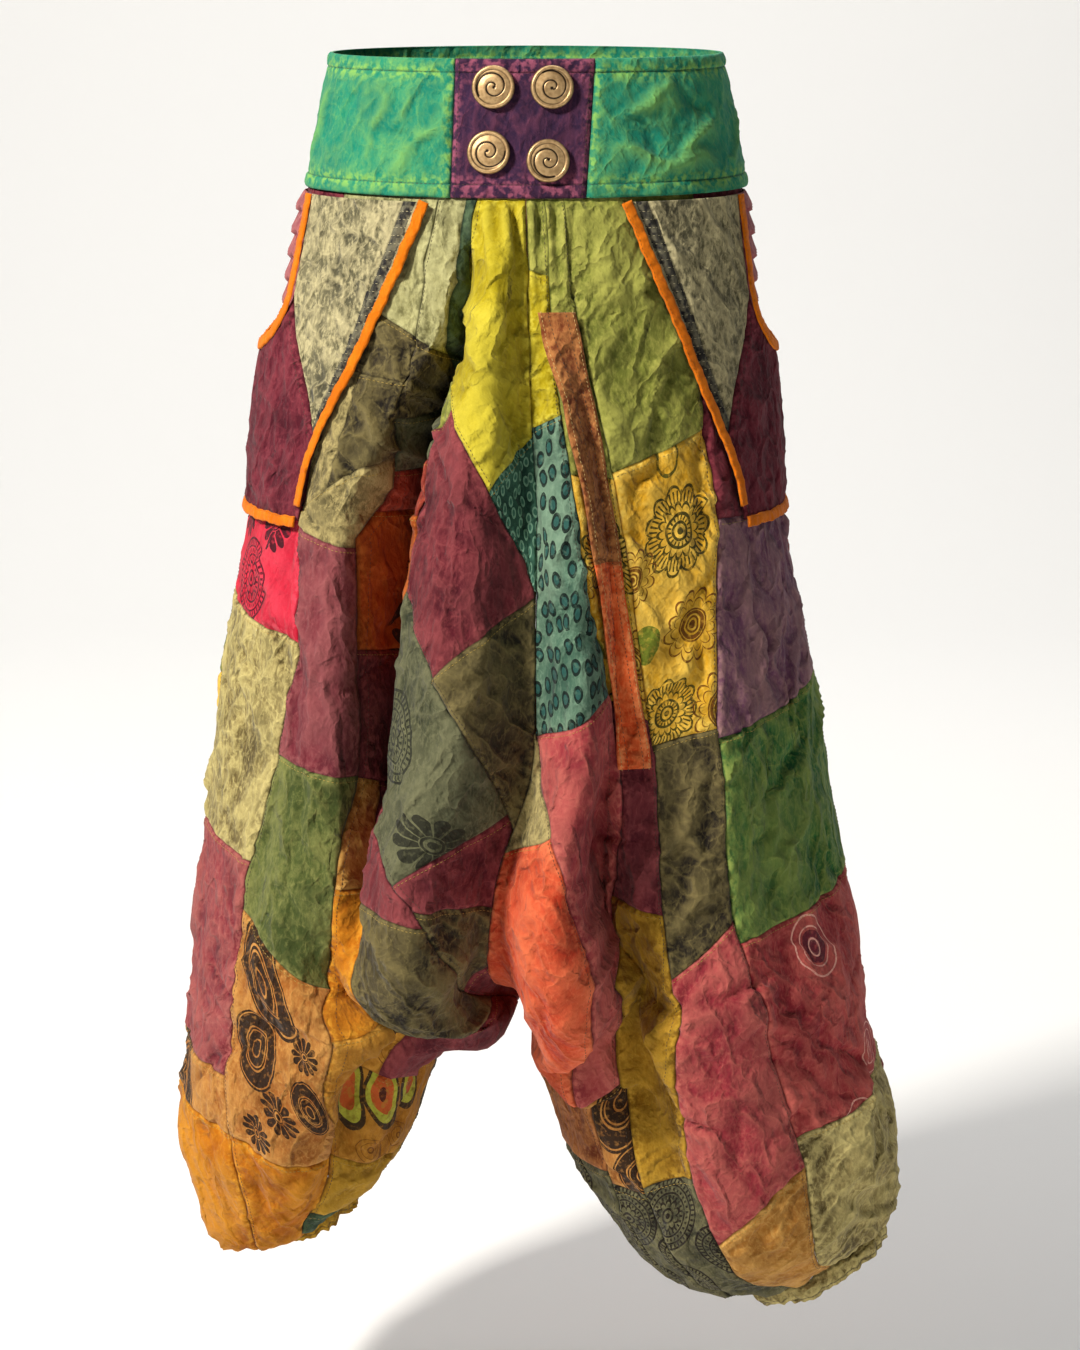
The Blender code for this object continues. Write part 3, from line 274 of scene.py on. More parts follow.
LOOSE_AREAS = (0.16, 1.4, 7.3) # wide areas that are crushed more than others: size, stretch, seed
NETS = [(0.058, 2.2, 0.45, 0.0024), (0.024, 1.35, -0.35, 0.0007)]     # ridges: size, stretch, slant, height
NET_SEED = 3.1
NET_BEND, NET_BREADTH = 0.42, 0.42     # how far a net is bent, and a ridge's breadth, in cells
STEEP_SIDE, EASY_SIDE = 0.50, 1.20     # widths of a crease's two sides, as shares of its half width
CREASE_GAIN = 1.6              # a crease is laid this much higher than its rise, since others dull it
SMALL_CREASES = {"right": 11, "left": 12}        # seeds of the small creases of each half
SMALL_COUNT = 260
SMALL_LENGTH, SMALL_WIDTH, SMALL_RISE = (0.030, 0.125), (0.0034, 0.0060), (0.0014, 0.0036)
SMALL_LEAN = (0.60, 0.35)      # usual angle from straight down, in radians, and how much it varies
GATHER_PITCH, GATHER_DEPTH = 0.0125, 0.0044      # soft gathers under the front of the waistband
GATHER_DROP, GATHER_REACH = 0.055, 0.115         # they fade out by this t and this s
CUFF_PLEATS, CUFF_PLEAT_DEPTH = 26, 0.00153      # gathers drawn in by the cuff elastic
CUFF_DRAW = 0.90               # t where they begin
DEEPEST, HIGHEST = -0.0075, 0.0085     # limits of all the small relief together


def smooth_column(rows, name, t):
    """A table column read at every t, smoothly, without overshooting the rows."""
    knots = np.array([row.t for row in rows], float)
    values = np.array([getattr(row, name) for row in rows], float)
    slopes = np.diff(values) / np.diff(knots)
    tangents = np.zeros(len(knots))
    tangents[0], tangents[-1] = slopes[0], slopes[-1]
    for i in range(1, len(knots) - 1):
        if slopes[i - 1] * slopes[i] > 0:
            tangents[i] = 2 / (1 / slopes[i - 1] + 1 / slopes[i])
    t = np.clip(t, knots[0], knots[-1])
    i = np.clip(np.searchsorted(knots, t, side="right") - 1, 0, len(knots) - 2)
    span = knots[i + 1] - knots[i]
    u = (t - knots[i]) / span
    rise = (3 * u**2 - 2 * u**3) * (values[i + 1] - values[i])
    return values[i] + rise + span * (u * (1 - u)**2 * tangents[i] - u**2 * (1 - u) * tangents[i + 1])


def line_at(line, t):
    """s of a line over the sheet at every t; its points start with t and s."""
    return np.interp(t, [p[0] for p in line], [p[1] for p in line])


def run(points):
    """Length along a line of points, from 0 at its first."""
    return np.concatenate([[0], np.cumsum(np.linalg.norm(np.diff(points, axis=0), axis=1))])


def plain_sheet(levels, s, t, shared_seams=True):
    """Points of a half without its folds, as an array [s, t, xyz]."""
    col = {name: smooth_column(levels, name, t) for name in Level._fields[1:]}
    if shared_seams:           # what both halves share is read apart above and below the crotch
        above = [row for row in levels if row.t <= CROTCH]
        below = [row for row in levels if row.t >= CROTCH]
        for name in ("z_seam", "y_mid", "depth", "gap", "x_seam"):
            col[name] = np.where(t > CROTCH, smooth_column(below, name, t), smooth_column(above, name, t))
    sheet = np.zeros((len(s), len(t), 3))
    for j in range(len(t)):
        gap = math.radians(max(col["gap"][j], 0.0))
        around = np.linspace(gap, 2 * math.pi - gap, 361)
        half_width = (col["x_side"][j] - col["x_seam"][j]) / (1 + math.cos(gap))
        x = col["x_side"][j] - half_width * (1 + np.cos(around))
        y = col["y_mid"][j] - col["depth"][j] * np.sin(around)
        length = run(np.stack([x, y], axis=-1))
        sheet[:, j, 0] = np.interp(s, length / length[-1], x)
        sheet[:, j, 1] = np.interp(s, length / length[-1], y)
        lower = np.sin(math.pi * s)**2
        z = col["z_seam"][j] + (col["z_side"][j] - col["z_seam"][j]) * lower
        sheet[:, j, 2] = z - col["dip"][j] * np.sin(2 * math.pi * s)
    return sheet


def outward(sheets, side, t):
    """Unit normals of a half, pointing out; past an edge lies the other half, or the same leg."""
    own, other = sheets[side], sheets["left" if side == "right" else "right"]
    above = (t < CROTCH - 1e-6)[:, None]
    wide = np.concatenate([np.where(above, other[1], own[-2])[None], own,
                           np.where(above, other[-2], own[1])[None]])
    along, down = wide[2:] - wide[:-2], np.gradient(own, axis=1)
    normal = np.cross(down, along) if side == "left" else np.cross(along, down)
    return normal / np.maximum(np.linalg.norm(normal, axis=2, keepdims=True), 1e-9)


def fold_rise(folds, s, t):
    """How far the folds move the cloth out, and how far down, as two arrays [s, t]."""
    rise, sag = np.zeros((len(s), len(t))), np.zeros((len(s), len(t)))
    for rows in folds.values():
        inside = (t >= rows[0].t) & (t <= rows[-1].t)
        middle, half = smooth_column(rows, "s", t), smooth_column(rows, "half", t)
        across = (s[:, None] - middle) / half
        bell = np.where(np.abs(across) < 1, (1 - across**2)**2, 0) * inside
        rise += bell * smooth_column(rows, "rise", t)
        sag += bell * smooth_column(rows, "sag", t)
    edge = np.clip(np.minimum(s, 1 - s) / 0.02, 0, 1)[:, None]
    return rise * edge, sag * edge


def soft_noise(points):
    """Smooth noise, about -1 to 1, for rows of points one unit apart."""
    return np.array([noise.noise(p, noise_basis="PERLIN_NEW") for p in points.tolist()])


def crumpled(points, size, stretch, seed):
    """Loose swells with rounded tops, from -1 to 1, for an array of points."""
    flat = points.reshape(-1, 3) * np.array([1 / size, 1 / size, 1 / (size * stretch)]) + seed
    return np.clip(1 - 2.6 * np.abs(soft_noise(flat)), -1, 1).reshape(points.shape[:-1])


CRUSH_SEED = 1795167611        # where the ridges bend; set, so that each run gives the same cloth
noise.seed_set(CRUSH_SEED)


def crushed(points, cell, stretch, slant, seed):
    """Sharp ridges meeting in a net, as when cloth is crushed in the hand: 1 on a ridge, 0 between."""
    x, y, z = np.moveaxis(points.reshape(-1, 3), 1, 0)
    flat = np.stack([(x + slant * z) / cell, y / cell, z / (cell * stretch)], axis=-1) + seed
    found = np.empty(len(flat))
    for i, p in enumerate(flat.tolist()):
        place = Vector(p)
        bend = NET_BEND * noise.noise_vector(1.3 * place, noise_basis="PERLIN_NEW")
        near = noise.voronoi(place + bend)[0]
        found[i] = near[1] - near[0]
    return (np.clip(1 - found / NET_BREADTH, 0, 1)**1.4).reshape(points.shape[:-1])


def ridge(across, down, start, end, width, rise):
    """A crease from start to end, all in metres on the flat cloth: a soft ridge or trough."""
    way = np.array(end) - np.array(start)
    px, py = across - start[0], down - start[1]
    # it wanders a few millimetres from a straight line
    wander = 0.0035 * np.sin(across * 95 + down * 60) + 0.0025 * np.sin(down * 170 - across * 45)
    off = (px * way[1] - py * way[0]) / math.hypot(*way) + wander
    share = np.clip((px * way[0] + py * way[1]) / (way @ way), 0, 1)
    spread = width * np.where(off > 0, STEEP_SIDE, EASY_SIDE)
    return CREASE_GAIN * rise * np.exp(-np.abs(off / spread)**1.25) * np.sin(math.pi * share)**0.7


def small_creases(across, down, seed):
    """Short, sharp creases scattered over a half, most of them slanting."""
    chance = np.random.default_rng(seed)
    height = np.zeros_like(across)
    for _ in range(SMALL_COUNT):
        length, width = chance.uniform(*SMALL_LENGTH), chance.uniform(*SMALL_WIDTH)
        lean = chance.choice([-1, 1]) * chance.normal(*SMALL_LEAN)
        rise = chance.choice([-1, 1]) * chance.uniform(*SMALL_RISE)
        row, column = chance.integers(GRID, size=2)
        start = np.array([across[row, column], down[row, column]])
        end = start + length * np.array([math.sin(lean), math.cos(lean)])
        middle, reach = (start + end) / 2, length / 2 + 0.012
        near = (np.abs(across - middle[0]) < reach) & (np.abs(down - middle[1]) < reach)
        height[near] += ridge(across[near], down[near], start, end, width, rise)
    return height


S, T = np.linspace(0, 1, GRID), np.linspace(0, 1, GRID)
plain = {side: plain_sheet(LEVELS[side], S, T) for side in LEVELS}
SMOOTH, WORN, HEIGHT, GIRTH = {}, {}, {}, {}
for side in plain:
    rise, sag = fold_rise(FOLDS[side], S, T)
    SMOOTH[side] = plain[side] + outward(plain, side, T) * rise[..., None]
    SMOOTH[side][..., 2] -= sag
    GIRTH[side] = np.linalg.norm(np.diff(SMOOTH[side], axis=0), axis=2).sum(axis=0)

# The pockets and the strap hold the cloth under them flat.  The pocket's front edge is t, s, and
# the strap's line is t, s of its middle and its width in metres.
POCKET_FRONT = [(0.00, 0.162), (0.05, 0.198), (0.10, 0.236), (0.18, 0.290), (0.22, 0.312), (0.262, 0.318)]
STRAP = [(0.088, 0.042, 0.027), (0.16, 0.066, 0.028), (0.27, 0.085, 0.030), (0.37, 0.104, 0.030),
         (0.462, 0.124, 0.031)]
STRAP_MARGIN = 0.020           # in s, the flattened cloth beside the strap's middle
POCKET_MARGIN, COVER_FADE = 0.008, 0.012         # of the flattened cloth past the pocket's edge
COVERED_END = 0.278            # t where the flattened cloth ends below the pocket
SMOOTH_OUT = {side: outward(SMOOTH, side, T) for side in SMOOTH}
folded = np.minimum(S, 1 - S)[:, None]           # s of a half as if folded along its side
COVERED = (np.clip((folded - line_at(POCKET_FRONT, T) + POCKET_MARGIN) / COVER_FADE, 0, 1)
           * np.clip((COVERED_END - T) / COVER_FADE, 0, 1))     # 1 under a pocket, 0 elsewhere
for side in SMOOTH:
    quiet = 1 - 0.92 * COVERED
    if side == "left":
        near = np.clip(1.6 - np.abs(S[:, None] - line_at(STRAP, T)) / STRAP_MARGIN, 0, 1)
        quiet *= 1 - 0.85 * near * (T > STRAP[0][0] - 0.018) * (T < STRAP[-1][0] + 0.013)
    loose = 0.5 + 0.5 * crumpled(SMOOTH[side], *LOOSE_AREAS)
    height = SWELL_HEIGHT * crumpled(SMOOTH[side], *SWELLS)
    for size, stretch, slant, high in NETS:
        slant = slant if side == "right" else -slant
        height += high * crushed(SMOOTH[side], size, stretch, slant, NET_SEED) * (0.25 + 0.95 * loose)
    across, down = S[:, None] * GIRTH[side], np.broadcast_to(T * LEG_LENGTH, (GRID, GRID))
    height += small_creases(across, down, SMALL_CREASES[side])
    for c in CREASES[side]:
        round_start, round_end = np.interp([c.t0, c.t1], T, GIRTH[side])
        height += ridge(across, down, (c.s0 * round_start, c.t0 * LEG_LENGTH),
                        (c.s1 * round_end, c.t1 * LEG_LENGTH), c.width, c.rise)
    gather = np.exp(-(T / GATHER_DROP)**2) * np.clip(1 - folded / GATHER_REACH, 0, 1)**0.5
    height += GATHER_DEPTH * gather * np.sin(2 * math.pi * folded * GIRTH[side] / GATHER_PITCH)
    drawn = np.clip((T - CUFF_DRAW) / (1 - CUFF_DRAW), 0, 1)**1.6
    wobble = 2.1 * np.sin(6 * math.pi * S + 1)[:, None] + 1.3 * np.sin(14 * math.pi * S)[:, None]
    uneven = 0.62 + 0.38 * np.sin(10 * math.pi * S + 2)[:, None]
    pleats = np.sin(2 * math.pi * CUFF_PLEATS * S[:, None] + 1.6 * wobble)
    height += CUFF_PLEAT_DEPTH * drawn * uneven * pleats
    sewn_down = np.clip(T / 0.012, 0, 1)         # the waistband's seam holds the top edge still
    HEIGHT[side] = np.clip(height, DEEPEST, HIGHEST) * quiet * sewn_down
    WORN[side] = SMOOTH[side] + SMOOTH_OUT[side] * HEIGHT[side][..., None]
for end in (0, -1):                   # the halves meet along their shared seams
    seam = T < CROTCH - 1e-6
    meet = (WORN["left"][end] + WORN["right"][end]) / 2
    for side in WORN:
        WORN[side][end] = np.where(seam[:, None], meet, WORN[side][end])
for side in WORN:                     # below the crotch a leg's two edges meet along its inseam
    inseam = T >= CROTCH - 1e-6
    meet = (WORN[side][0] + WORN[side][-1]) / 2
    for end in (0, -1):
        WORN[side][end] = np.where(inseam[:, None], meet, WORN[side][end])
WORN_OUT = {side: outward(WORN, side, T) for side in WORN}


def girth_at(side, t):
    """Length round a half at any t, from its front seam to its back seam."""
    return np.interp(t, T, GIRTH[side])


def read_grid(grid, s, t):
    """Values of a sheet array at places between its points."""
    columns, rows = grid.shape[0] - 1, grid.shape[1] - 1
    a, b = np.clip(s, 0, 1) * columns, np.clip(t, 0, 1) * rows
    i, j = np.minimum(a.astype(int), columns - 1), np.minimum(b.astype(int), rows - 1)
    u, v = a - i, b - j
    if grid.ndim == 3:
        u, v = u[..., None], v[..., None]
    near = grid[i, j] * (1 - v) + grid[i, j + 1] * v
    far = grid[i + 1, j] * (1 - v) + grid[i + 1, j + 1] * v
    return near * (1 - u) + far * u


def on_sheet(side, s, t, out=0.0, worn=True):
    """Points at (s, t) of a half, moved out along the cloth's own normal."""
    points, normals = (WORN[side], WORN_OUT[side]) if worn else (SMOOTH[side], SMOOTH_OUT[side])
    s, t = np.asarray(s, float), np.asarray(t, float)
    normal = read_grid(normals, s, t)
    normal /= np.maximum(np.linalg.norm(normal, axis=-1, keepdims=True), 1e-9)
    return read_grid(points, s, t) + normal * np.asarray(out, float)[..., None]


# ==== Cotton cloths ===========================================================================
# Light plain-weave cotton, over-dyed and stone or acid washed after sewing, so the dye is pale along
# seams and creases and mottled between them; some pieces are block printed in dark ink.
# A washed cotton has a matt fibre surface (roughness 0.85 to 0.95, IOR 1.5) with a faint sheen.
WEAVE_PITCH = 0.0011      # threads lie 0.35 mm apart; drawn three times coarser, or it would not show
COTTON = {"Roughness": 0.88, "IOR": 1.5, "Specular IOR Level": 0.12, "Sheen Weight": 0.06,
          "Sheen Roughness": 0.5}
Dye = namedtuple("Dye", "ground pale deep wash crackle")
# ground: the dyed colour; pale: where it washed out; deep: where the dye pooled.
# wash: share bleached in clouds; crackle: share bleached along fine creases.
DYES = {
    "teal_green_cotton": Dye("#1b8568", "#8cbc55", "#0f6a5c", 0.10, 0.15),
    "purple_cotton": Dye("#35203c", "#a2566c", "#24162b", 0.05, 0.10),
    "grey_acid_cotton": Dye("#6a6549", "#c2b68a", "#35332c", 0.60, 0.70),
    "maroon_cotton": Dye("#571625", "#8f3f48", "#330b16", 0.22, 0.30),
    "rose_tuck_cotton": Dye("#8c3a48", "#c47f78", "#5d2030", 0.22, 0.15),
    "khaki_cotton": Dye("#7d794c", "#c0bb85", "#474630", 0.38, 0.35),
    "lime_khaki_cotton": Dye("#757a30", "#adaa54", "#454c1a", 0.35, 0.25),
    "brown_acid_cotton": Dye("#28221c", "#7d7046", "#14110e", 0.22, 0.55),
    "straw_speckle_cotton": Dye("#675c3a", "#b3a26b", "#322e20", 0.62, 0.50),
    "mauve_cotton": Dye("#6c2630", "#9c5a5a", "#431722", 0.22, 0.30),
    "sage_cotton": Dye("#4c5729", "#85864c", "#2e381a", 0.35, 0.35),
    "straw_acid_cotton": Dye("#75643a", "#cdbd7c", "#372f1a", 0.38, 0.55),
    "wine_cotton": Dye("#7f2a35", "#ad635c", "#511923", 0.25, 0.40),
    "red_rosette_cotton": Dye("#c0102f", "#dd4a5c", "#8c0a22", 0.12, 0.12),
    "brown_print_cotton": Dye("#a05f26", "#cc9650", "#68401a", 0.32, 0.45),
    "orange_cotton": Dye("#b56508", "#dc9a2e", "#6a3204", 0.12, 0.22),
    "yellow_cotton": Dye("#ac980c", "#d6c745", "#6f600a", 0.15, 0.12),
    "dark_teal_dot_cotton": Dye("#1b3a31", "#4a7862", "#0e211b", 0.15, 0.10),
    "plum_cotton": Dye("#581823", "#94484a", "#310c15", 0.18, 0.35),
    "olive_rosette_cotton": Dye("#3a3e2a", "#706f52", "#1c2018", 0.38, 0.55),
    "coral_cotton": Dye("#c53a1e", "#e67a50", "#7d2212", 0.18, 0.35),
    # a darker copy of coral_cotton: painted shade for the coral patches that lie deep in the pleat and low in
    # the drape by the crotch
    "coral_in_painted_shade_cotton": Dye("#7d241c", "#b2543e", "#4a120e", 0.18, 0.25),
    "teal_ring_cotton": Dye("#4b6c58", "#849f86", "#2b473d", 0.25, 0.25),
    "rose_cotton": Dye("#98303a", "#c26a5e", "#5f1c24", 0.22, 0.35),
    "mustard_cotton": Dye("#8c640e", "#c49a34", "#55390c", 0.28, 0.30),
    "yellow_flower_cotton": Dye("#d29c1c", "#eac75c", "#a87710", 0.22, 0.15),
    "leaf_green_cotton": Dye("#22602f", "#8c9a4c", "#123f20", 0.30, 0.45),
    "lilac_cotton": Dye("#70455e", "#a27c78", "#4c2f47", 0.30, 0.35),
    "red_ring_cotton": Dye("#9c2a34", "#c8685c", "#5f1820", 0.25, 0.40),
    "tan_cotton": Dye("#a8702a", "#d2a45a", "#6b431a", 0.25, 0.30),
    "orange_leaf_cotton": Dye("#9a420f", "#c26a2c", "#66280a", 0.20, 0.15),
    "drop_print_cotton": Dye("#976015", "#c48f38", "#66400d", 0.28, 0.20),
    "slate_paisley_cotton": Dye("#39392b", "#767150", "#1a1c18", 0.36, 0.55),
    "bottle_green_cotton": Dye("#26382b", "#55694b", "#141f18", 0.20, 0.20),
    "brown_strap_cotton": Dye("#7d3f22", "#bd7f48", "#4a2012", 0.40, 0.30),
    "coral_strap_cotton": Dye("#d84c1a", "#f5955a", "#a03a18", 0.25, 0.25),
    "felled_seam_cotton": Dye("#222127", "#7d7861", "#121116", 0.22, 0.12),
    "orange_binding_cotton": Dye("#e07408", "#f5a035", "#b85a05", 0.12, 0.00),
}
# how deep the fine creases are in a cloth, where they differ from the rest
CRISP = {"teal_green_cotton": 0.45, "purple_cotton": 0.30, "orange_binding_cotton": 0.25,
         "rose_tuck_cotton": 0.25, "felled_seam_cotton": 0.4, "grey_acid_cotton": 1.3}
LEAN = {name: 0.85 * math.sin(2.4 * k + 0.7) for k, name in enumerate(DYES)}     # how its creases lie


def mix(tree, share, under, over):
    """A colour that turns from one to the other as the share goes from 0 to 1."""
    return add(tree, "ShaderNodeMix", {0: share, 6: under, 7: over}, out=2, data_type="RGBA")


def ramp(tree, value, low, high, at_low, at_high):
    """A value mapped evenly from one range to another, and held at both ends."""
    return add(tree, "ShaderNodeMapRange", {0: value, 1: low, 2: high, 3: at_low, 4: at_high})


def maths(tree, operation, *values, **settings):
    """One step of arithmetic on numbers or sockets."""
    return add(tree, "ShaderNodeMath", dict(enumerate(values)), operation=operation, **settings)


def bump(tree, height, distance, strength, over=None):
    """Fine relief, laid over other relief."""
    ins = {"Height": height, "Distance": distance, "Strength": strength}
    return add(tree, "ShaderNodeBump", ins if over is None else {**ins, "Normal": over})


def pulled(tree, vector, rotation, stretch):
    """Places turned and stretched, so that what is drawn on them runs one way."""
    return add(tree, "ShaderNodeMapping",
               {"Vector": vector, "Rotation": rotation, "Scale": (1.0, 1.0, stretch)},
               vector_type="TEXTURE")


def creased(tree, vector, scale, detail, breadth):
    """Sharp ridges where a soft noise passes its middle value: 1 on a ridge, 0 between them."""
    swell = add(tree, "ShaderNodeTexNoise",
                {"Vector": vector, "Scale": scale, "Detail": detail, "Roughness": 0.5})
    off = maths(tree, "SUBTRACT", swell, 0.5)
    off = maths(tree, "ABSOLUTE", off)
    return ramp(tree, off, 0.0, breadth, 1.0, 0.0)


def cotton(name):
    """A washed, dyed cotton without any print."""
    dye = DYES[name]
    pale = srgb(dye.pale)
    material, tree, shader = surface(name, COTTON)
    place = add(tree, "ShaderNodeTexCoord", out=3)
    seam = add(tree, "ShaderNodeAttribute", out=2, attribute_name="seam")
    crest = add(tree, "ShaderNodeAttribute", out=2, attribute_name="crest")
    clouds = add(tree, "ShaderNodeTexNoise", {"Vector": place, "Scale": 30, "Detail": 5, "Roughness": 0.6})
    pooled = ramp(tree, clouds, 0.34, 0.62, 0.65, 0.0)
    colour = mix(tree, pooled, srgb(dye.ground), srgb(dye.deep))
    # bleach takes in flecks a few millimetres long that run with the threads
    grain = add(tree, "ShaderNodeMapping", {"Vector": place, "Scale": (1.0, 1.0, 0.45)})
    marble = add(tree, "ShaderNodeTexNoise",
                 {"Vector": grain, "Scale": 330, "Detail": 6, "Roughness": 0.72, "Distortion": 0.2})
    marble = maths(tree, "MULTIPLY_ADD", clouds, 0.5, marble)
    bleached = ramp(tree, marble, 0.70, 0.90, 0.0, dye.wash * 1.4)
    colour = mix(tree, bleached, colour, pale)
    # fine creases in the wash tub leave pale, broken lines
    warp = add(tree, "ShaderNodeTexNoise", {"Vector": place, "Scale": 45, "Detail": 4}, out=1)
    bent = add(tree, "ShaderNodeVectorMath", {0: warp, 1: (0.014, 0.014, 0.014)}, operation="MULTIPLY")
    bent = add(tree, "ShaderNodeVectorMath", {0: place, 1: bent}, operation="ADD")
    cells = add(tree, "ShaderNodeTexVoronoi", {"Vector": bent, "Scale": 50}, feature="DISTANCE_TO_EDGE")
    lines = ramp(tree, cells, 0.0, 0.05, dye.crackle * 1.1, 0.0)
    broken = ramp(tree, marble, 0.62, 0.86, 0.0, 1.0)
    lines = maths(tree, "MULTIPLY", lines, broken)
    colour = mix(tree, lines, colour, pale)
    # crests of the creases rub pale; the turned seam allowance ropes into pale and dark bars
    crush = creased(tree, pulled(tree, bent, (0.2, LEAN[name], 0.3), 3.2), 30, 2.5, 0.11)
    sharp = ramp(tree, crush, 0.60, 1.0, 0.0, 0.05 + 0.80 * dye.crackle)
    colour = mix(tree, sharp, colour, pale)
    crinkle = creased(tree, pulled(tree, bent, (0.4, -LEAN[name], 0.1), 2.2), 75, 3, 0.16)
    tops = ramp(tree, crinkle, 0.65, 1.0, 0.0, 0.55 * dye.crackle)
    colour = mix(tree, tops, colour, pale)
    rubbed = ramp(tree, crest, 0.0008, 0.0045, 0.0, 0.45)
    colour = mix(tree, rubbed, colour, pale)
    rope = add(tree, "ShaderNodeTexNoise", {"Vector": place, "Scale": 190, "Detail": 2})
    rope = ramp(tree, rope, 0.42, 0.60, -0.15, 0.75)
    margin = ramp(tree, seam, 0.0015, 0.0095, 1.0, 0.0)
    roped = maths(tree, "MULTIPLY", rope, margin, use_clamp=True)
    colour = mix(tree, roped, colour, pale)
    sunk = ramp(tree, seam, 0.0002, 0.0013, 0.55, 0.0)
    colour = mix(tree, sunk, colour, srgb(dye.deep))
    # relief, from the crush of wear down to the slubs and the weave
    relief = bump(tree, crush, 0.0030 * CRISP.get(name, 1.0), 1.0)
    relief = bump(tree, crinkle, 0.0008, 0.8, relief)
    folds = ramp(tree, cells, 0.0, 0.20, 1.0, 0.0)
    folds = maths(tree, "MULTIPLY", folds, clouds)
    relief = bump(tree, folds, 0.0014, 0.4, relief)
    relief = bump(tree, marble, 0.0007, 0.5, relief)
    threads = add(tree, "ShaderNodeTexWave",
                  {"Vector": place, "Scale": 0.314 / WEAVE_PITCH, "Distortion": 1.5},
                  bands_direction="DIAGONAL")
    tree.links.new(bump(tree, threads, 0.00010, 0.35, relief), shader.inputs["Normal"])
    tree.links.new(colour, shader.inputs["Base Color"])
    return material


# A block print is built of parts, sized as shares of its radius.  "at" is how far out a part lies:
# rings and petals are lines of a width; leaves are filled, from "width" out; ticks and dots reach
# "size" to both sides; a disc is filled up to "at"; a bite is a ring left free of ink.
Part = namedtuple("Part", "kind at width number size", defaults=(0, 0, 0))


def stamp(tree, uv, placed):
    """Ink, 0 or 1, of one print."""
    p = add(tree, "ShaderNodeMapping", {"Vector": uv, "Location": (*placed.at, 0.0),
                                        "Rotation": (0, 0, placed.turn),
                                        "Scale": (placed.radius, placed.radius * placed.squash, 1.0)},
            vector_type="TEXTURE")
    apart = add(tree, "ShaderNodeSeparateXYZ", {0: p}).node
    r = add(tree, "ShaderNodeVectorMath", {0: p}, out=1, operation="LENGTH")
    angle = maths(tree, "ARCTAN2", apart.outputs[1], apart.outputs[0])
    ink = None
    for part in placed.motif:
        if part.kind in ("petals", "leaves"):
            wave = maths(tree, "MULTIPLY", angle, part.number / 2)
            wave = maths(tree, "COSINE", wave)
            wave = maths(tree, "ABSOLUTE", wave)
            wave = maths(tree, "POWER", wave, 0.6)
            rim = maths(tree, "MULTIPLY_ADD", wave, part.size, part.at)
            if part.kind == "petals":
                mark = maths(tree, "COMPARE", r, rim, part.width)
            else:
                inside = maths(tree, "LESS_THAN", r, rim)
                gap = maths(tree, "GREATER_THAN", wave, 0.45)
                beyond = maths(tree, "GREATER_THAN", r, part.width)
                mark = maths(tree, "MULTIPLY", inside, gap)
                mark = maths(tree, "MULTIPLY", mark, beyond)
        elif part.kind in ("ticks", "dots"):
            wave = maths(tree, "MULTIPLY", angle, part.number)
            wave = maths(tree, "COSINE", wave)
            wave = maths(tree, "GREATER_THAN", wave, 0.25)
            band = maths(tree, "COMPARE", r, part.at, part.size)
            mark = maths(tree, "MULTIPLY", wave, band)
        elif part.kind == "disc":
            mark = maths(tree, "LESS_THAN", r, part.at)
        else:                  # a ring, or a bite out of what was printed so far
            mark = maths(tree, "COMPARE", r, part.at, part.width)
        if ink is None:
            ink = mark
        elif part.kind == "bite":
            ink = maths(tree, "SUBTRACT", ink, mark, use_clamp=True)
        else:
            ink = maths(tree, "MAXIMUM", ink, mark)
    return ink


LINE_FLOWER = [
    Part("petals", 0.70, 0.036, 11, 0.28), Part("ticks", 0.74, 0, 44, 0.13),
    Part("petals", 0.44, 0.040, 16, 0.16), Part("ring", 0.36, 0.034), Part("dots", 0.28, 0, 18, 0.045),
    Part("ring", 0.19, 0.034), Part("disc", 0.08)]
OPEN_FLOWER = [
    Part("petals", 0.70, 0.034, 12, 0.28), Part("petals", 0.52, 0.020, 12, 0.22), Part("ring", 0.44, 0.026),
    Part("ring", 0.34, 0.055), Part("ring", 0.20, 0.030), Part("disc", 0.11)]
ROSETTE = [
    Part("ring", 0.96, 0.030), Part("ticks", 0.87, 0, 40, 0.055), Part("ring", 0.78, 0.024),
    Part("dots", 0.67, 0, 30, 0.040), Part("ring", 0.57, 0.026), Part("ticks", 0.47, 0, 24, 0.05),
    Part("petals", 0.26, 0.040, 10, 0.14), Part("ring", 0.18, 0.030), Part("disc", 0.08)]
BLOCK_FLOWER = [Part("leaves", 0.62, 0.30, 12, 0.36), Part("ring", 0.24, 0.035), Part("disc", 0.12)]
BLOCK_ROUNDEL = [
    Part("disc", 0.98), Part("bite", 0.90, 0.018), Part("bite", 0.52, 0.022),
    Part("petals", 0.60, 0.030, 9, 0.20), Part("bite", 0.43, 0.018), Part("bite", 0.20, 0.02)]
SMALL_RINGS = [Part("ring", 0.93, 0.030), Part("ring", 0.62, 0.022), Part("ring", 0.20, 0.06)]
PLAIN_DISC = [Part("disc", 1.0)]
SPOT_RING = [Part("ring", 0.90, 0.10)]
CHAIN = [Part("dots", 0.92, 0, 26, 0.050)]
# Motifs on each patch of a cloth: places and sizes in metres, from the patch's middle line and top
# edge; squash is its height for a width of 1.
Print = namedtuple("Print", "motif at radius squash turn ink")
INK, BROWN_INK, PALE_INK, LEAF_INK = "#1d1512", "#6a3d12", "#e0a596", "#2a1a16"


def eye(x, y, radius, squash, turn):
    """A drop printed in three colours, one inside the other, each a little higher."""
    return [Print(PLAIN_DISC, (x, y), radius, squash, turn, "#2c2318"),
            Print(PLAIN_DISC, (x, y - 0.002), radius - 0.003, squash + 0.05, turn, "#a8a83a"),
            Print(PLAIN_DISC, (x, y - 0.004), radius - 0.007, squash, turn, "#b04a22")]


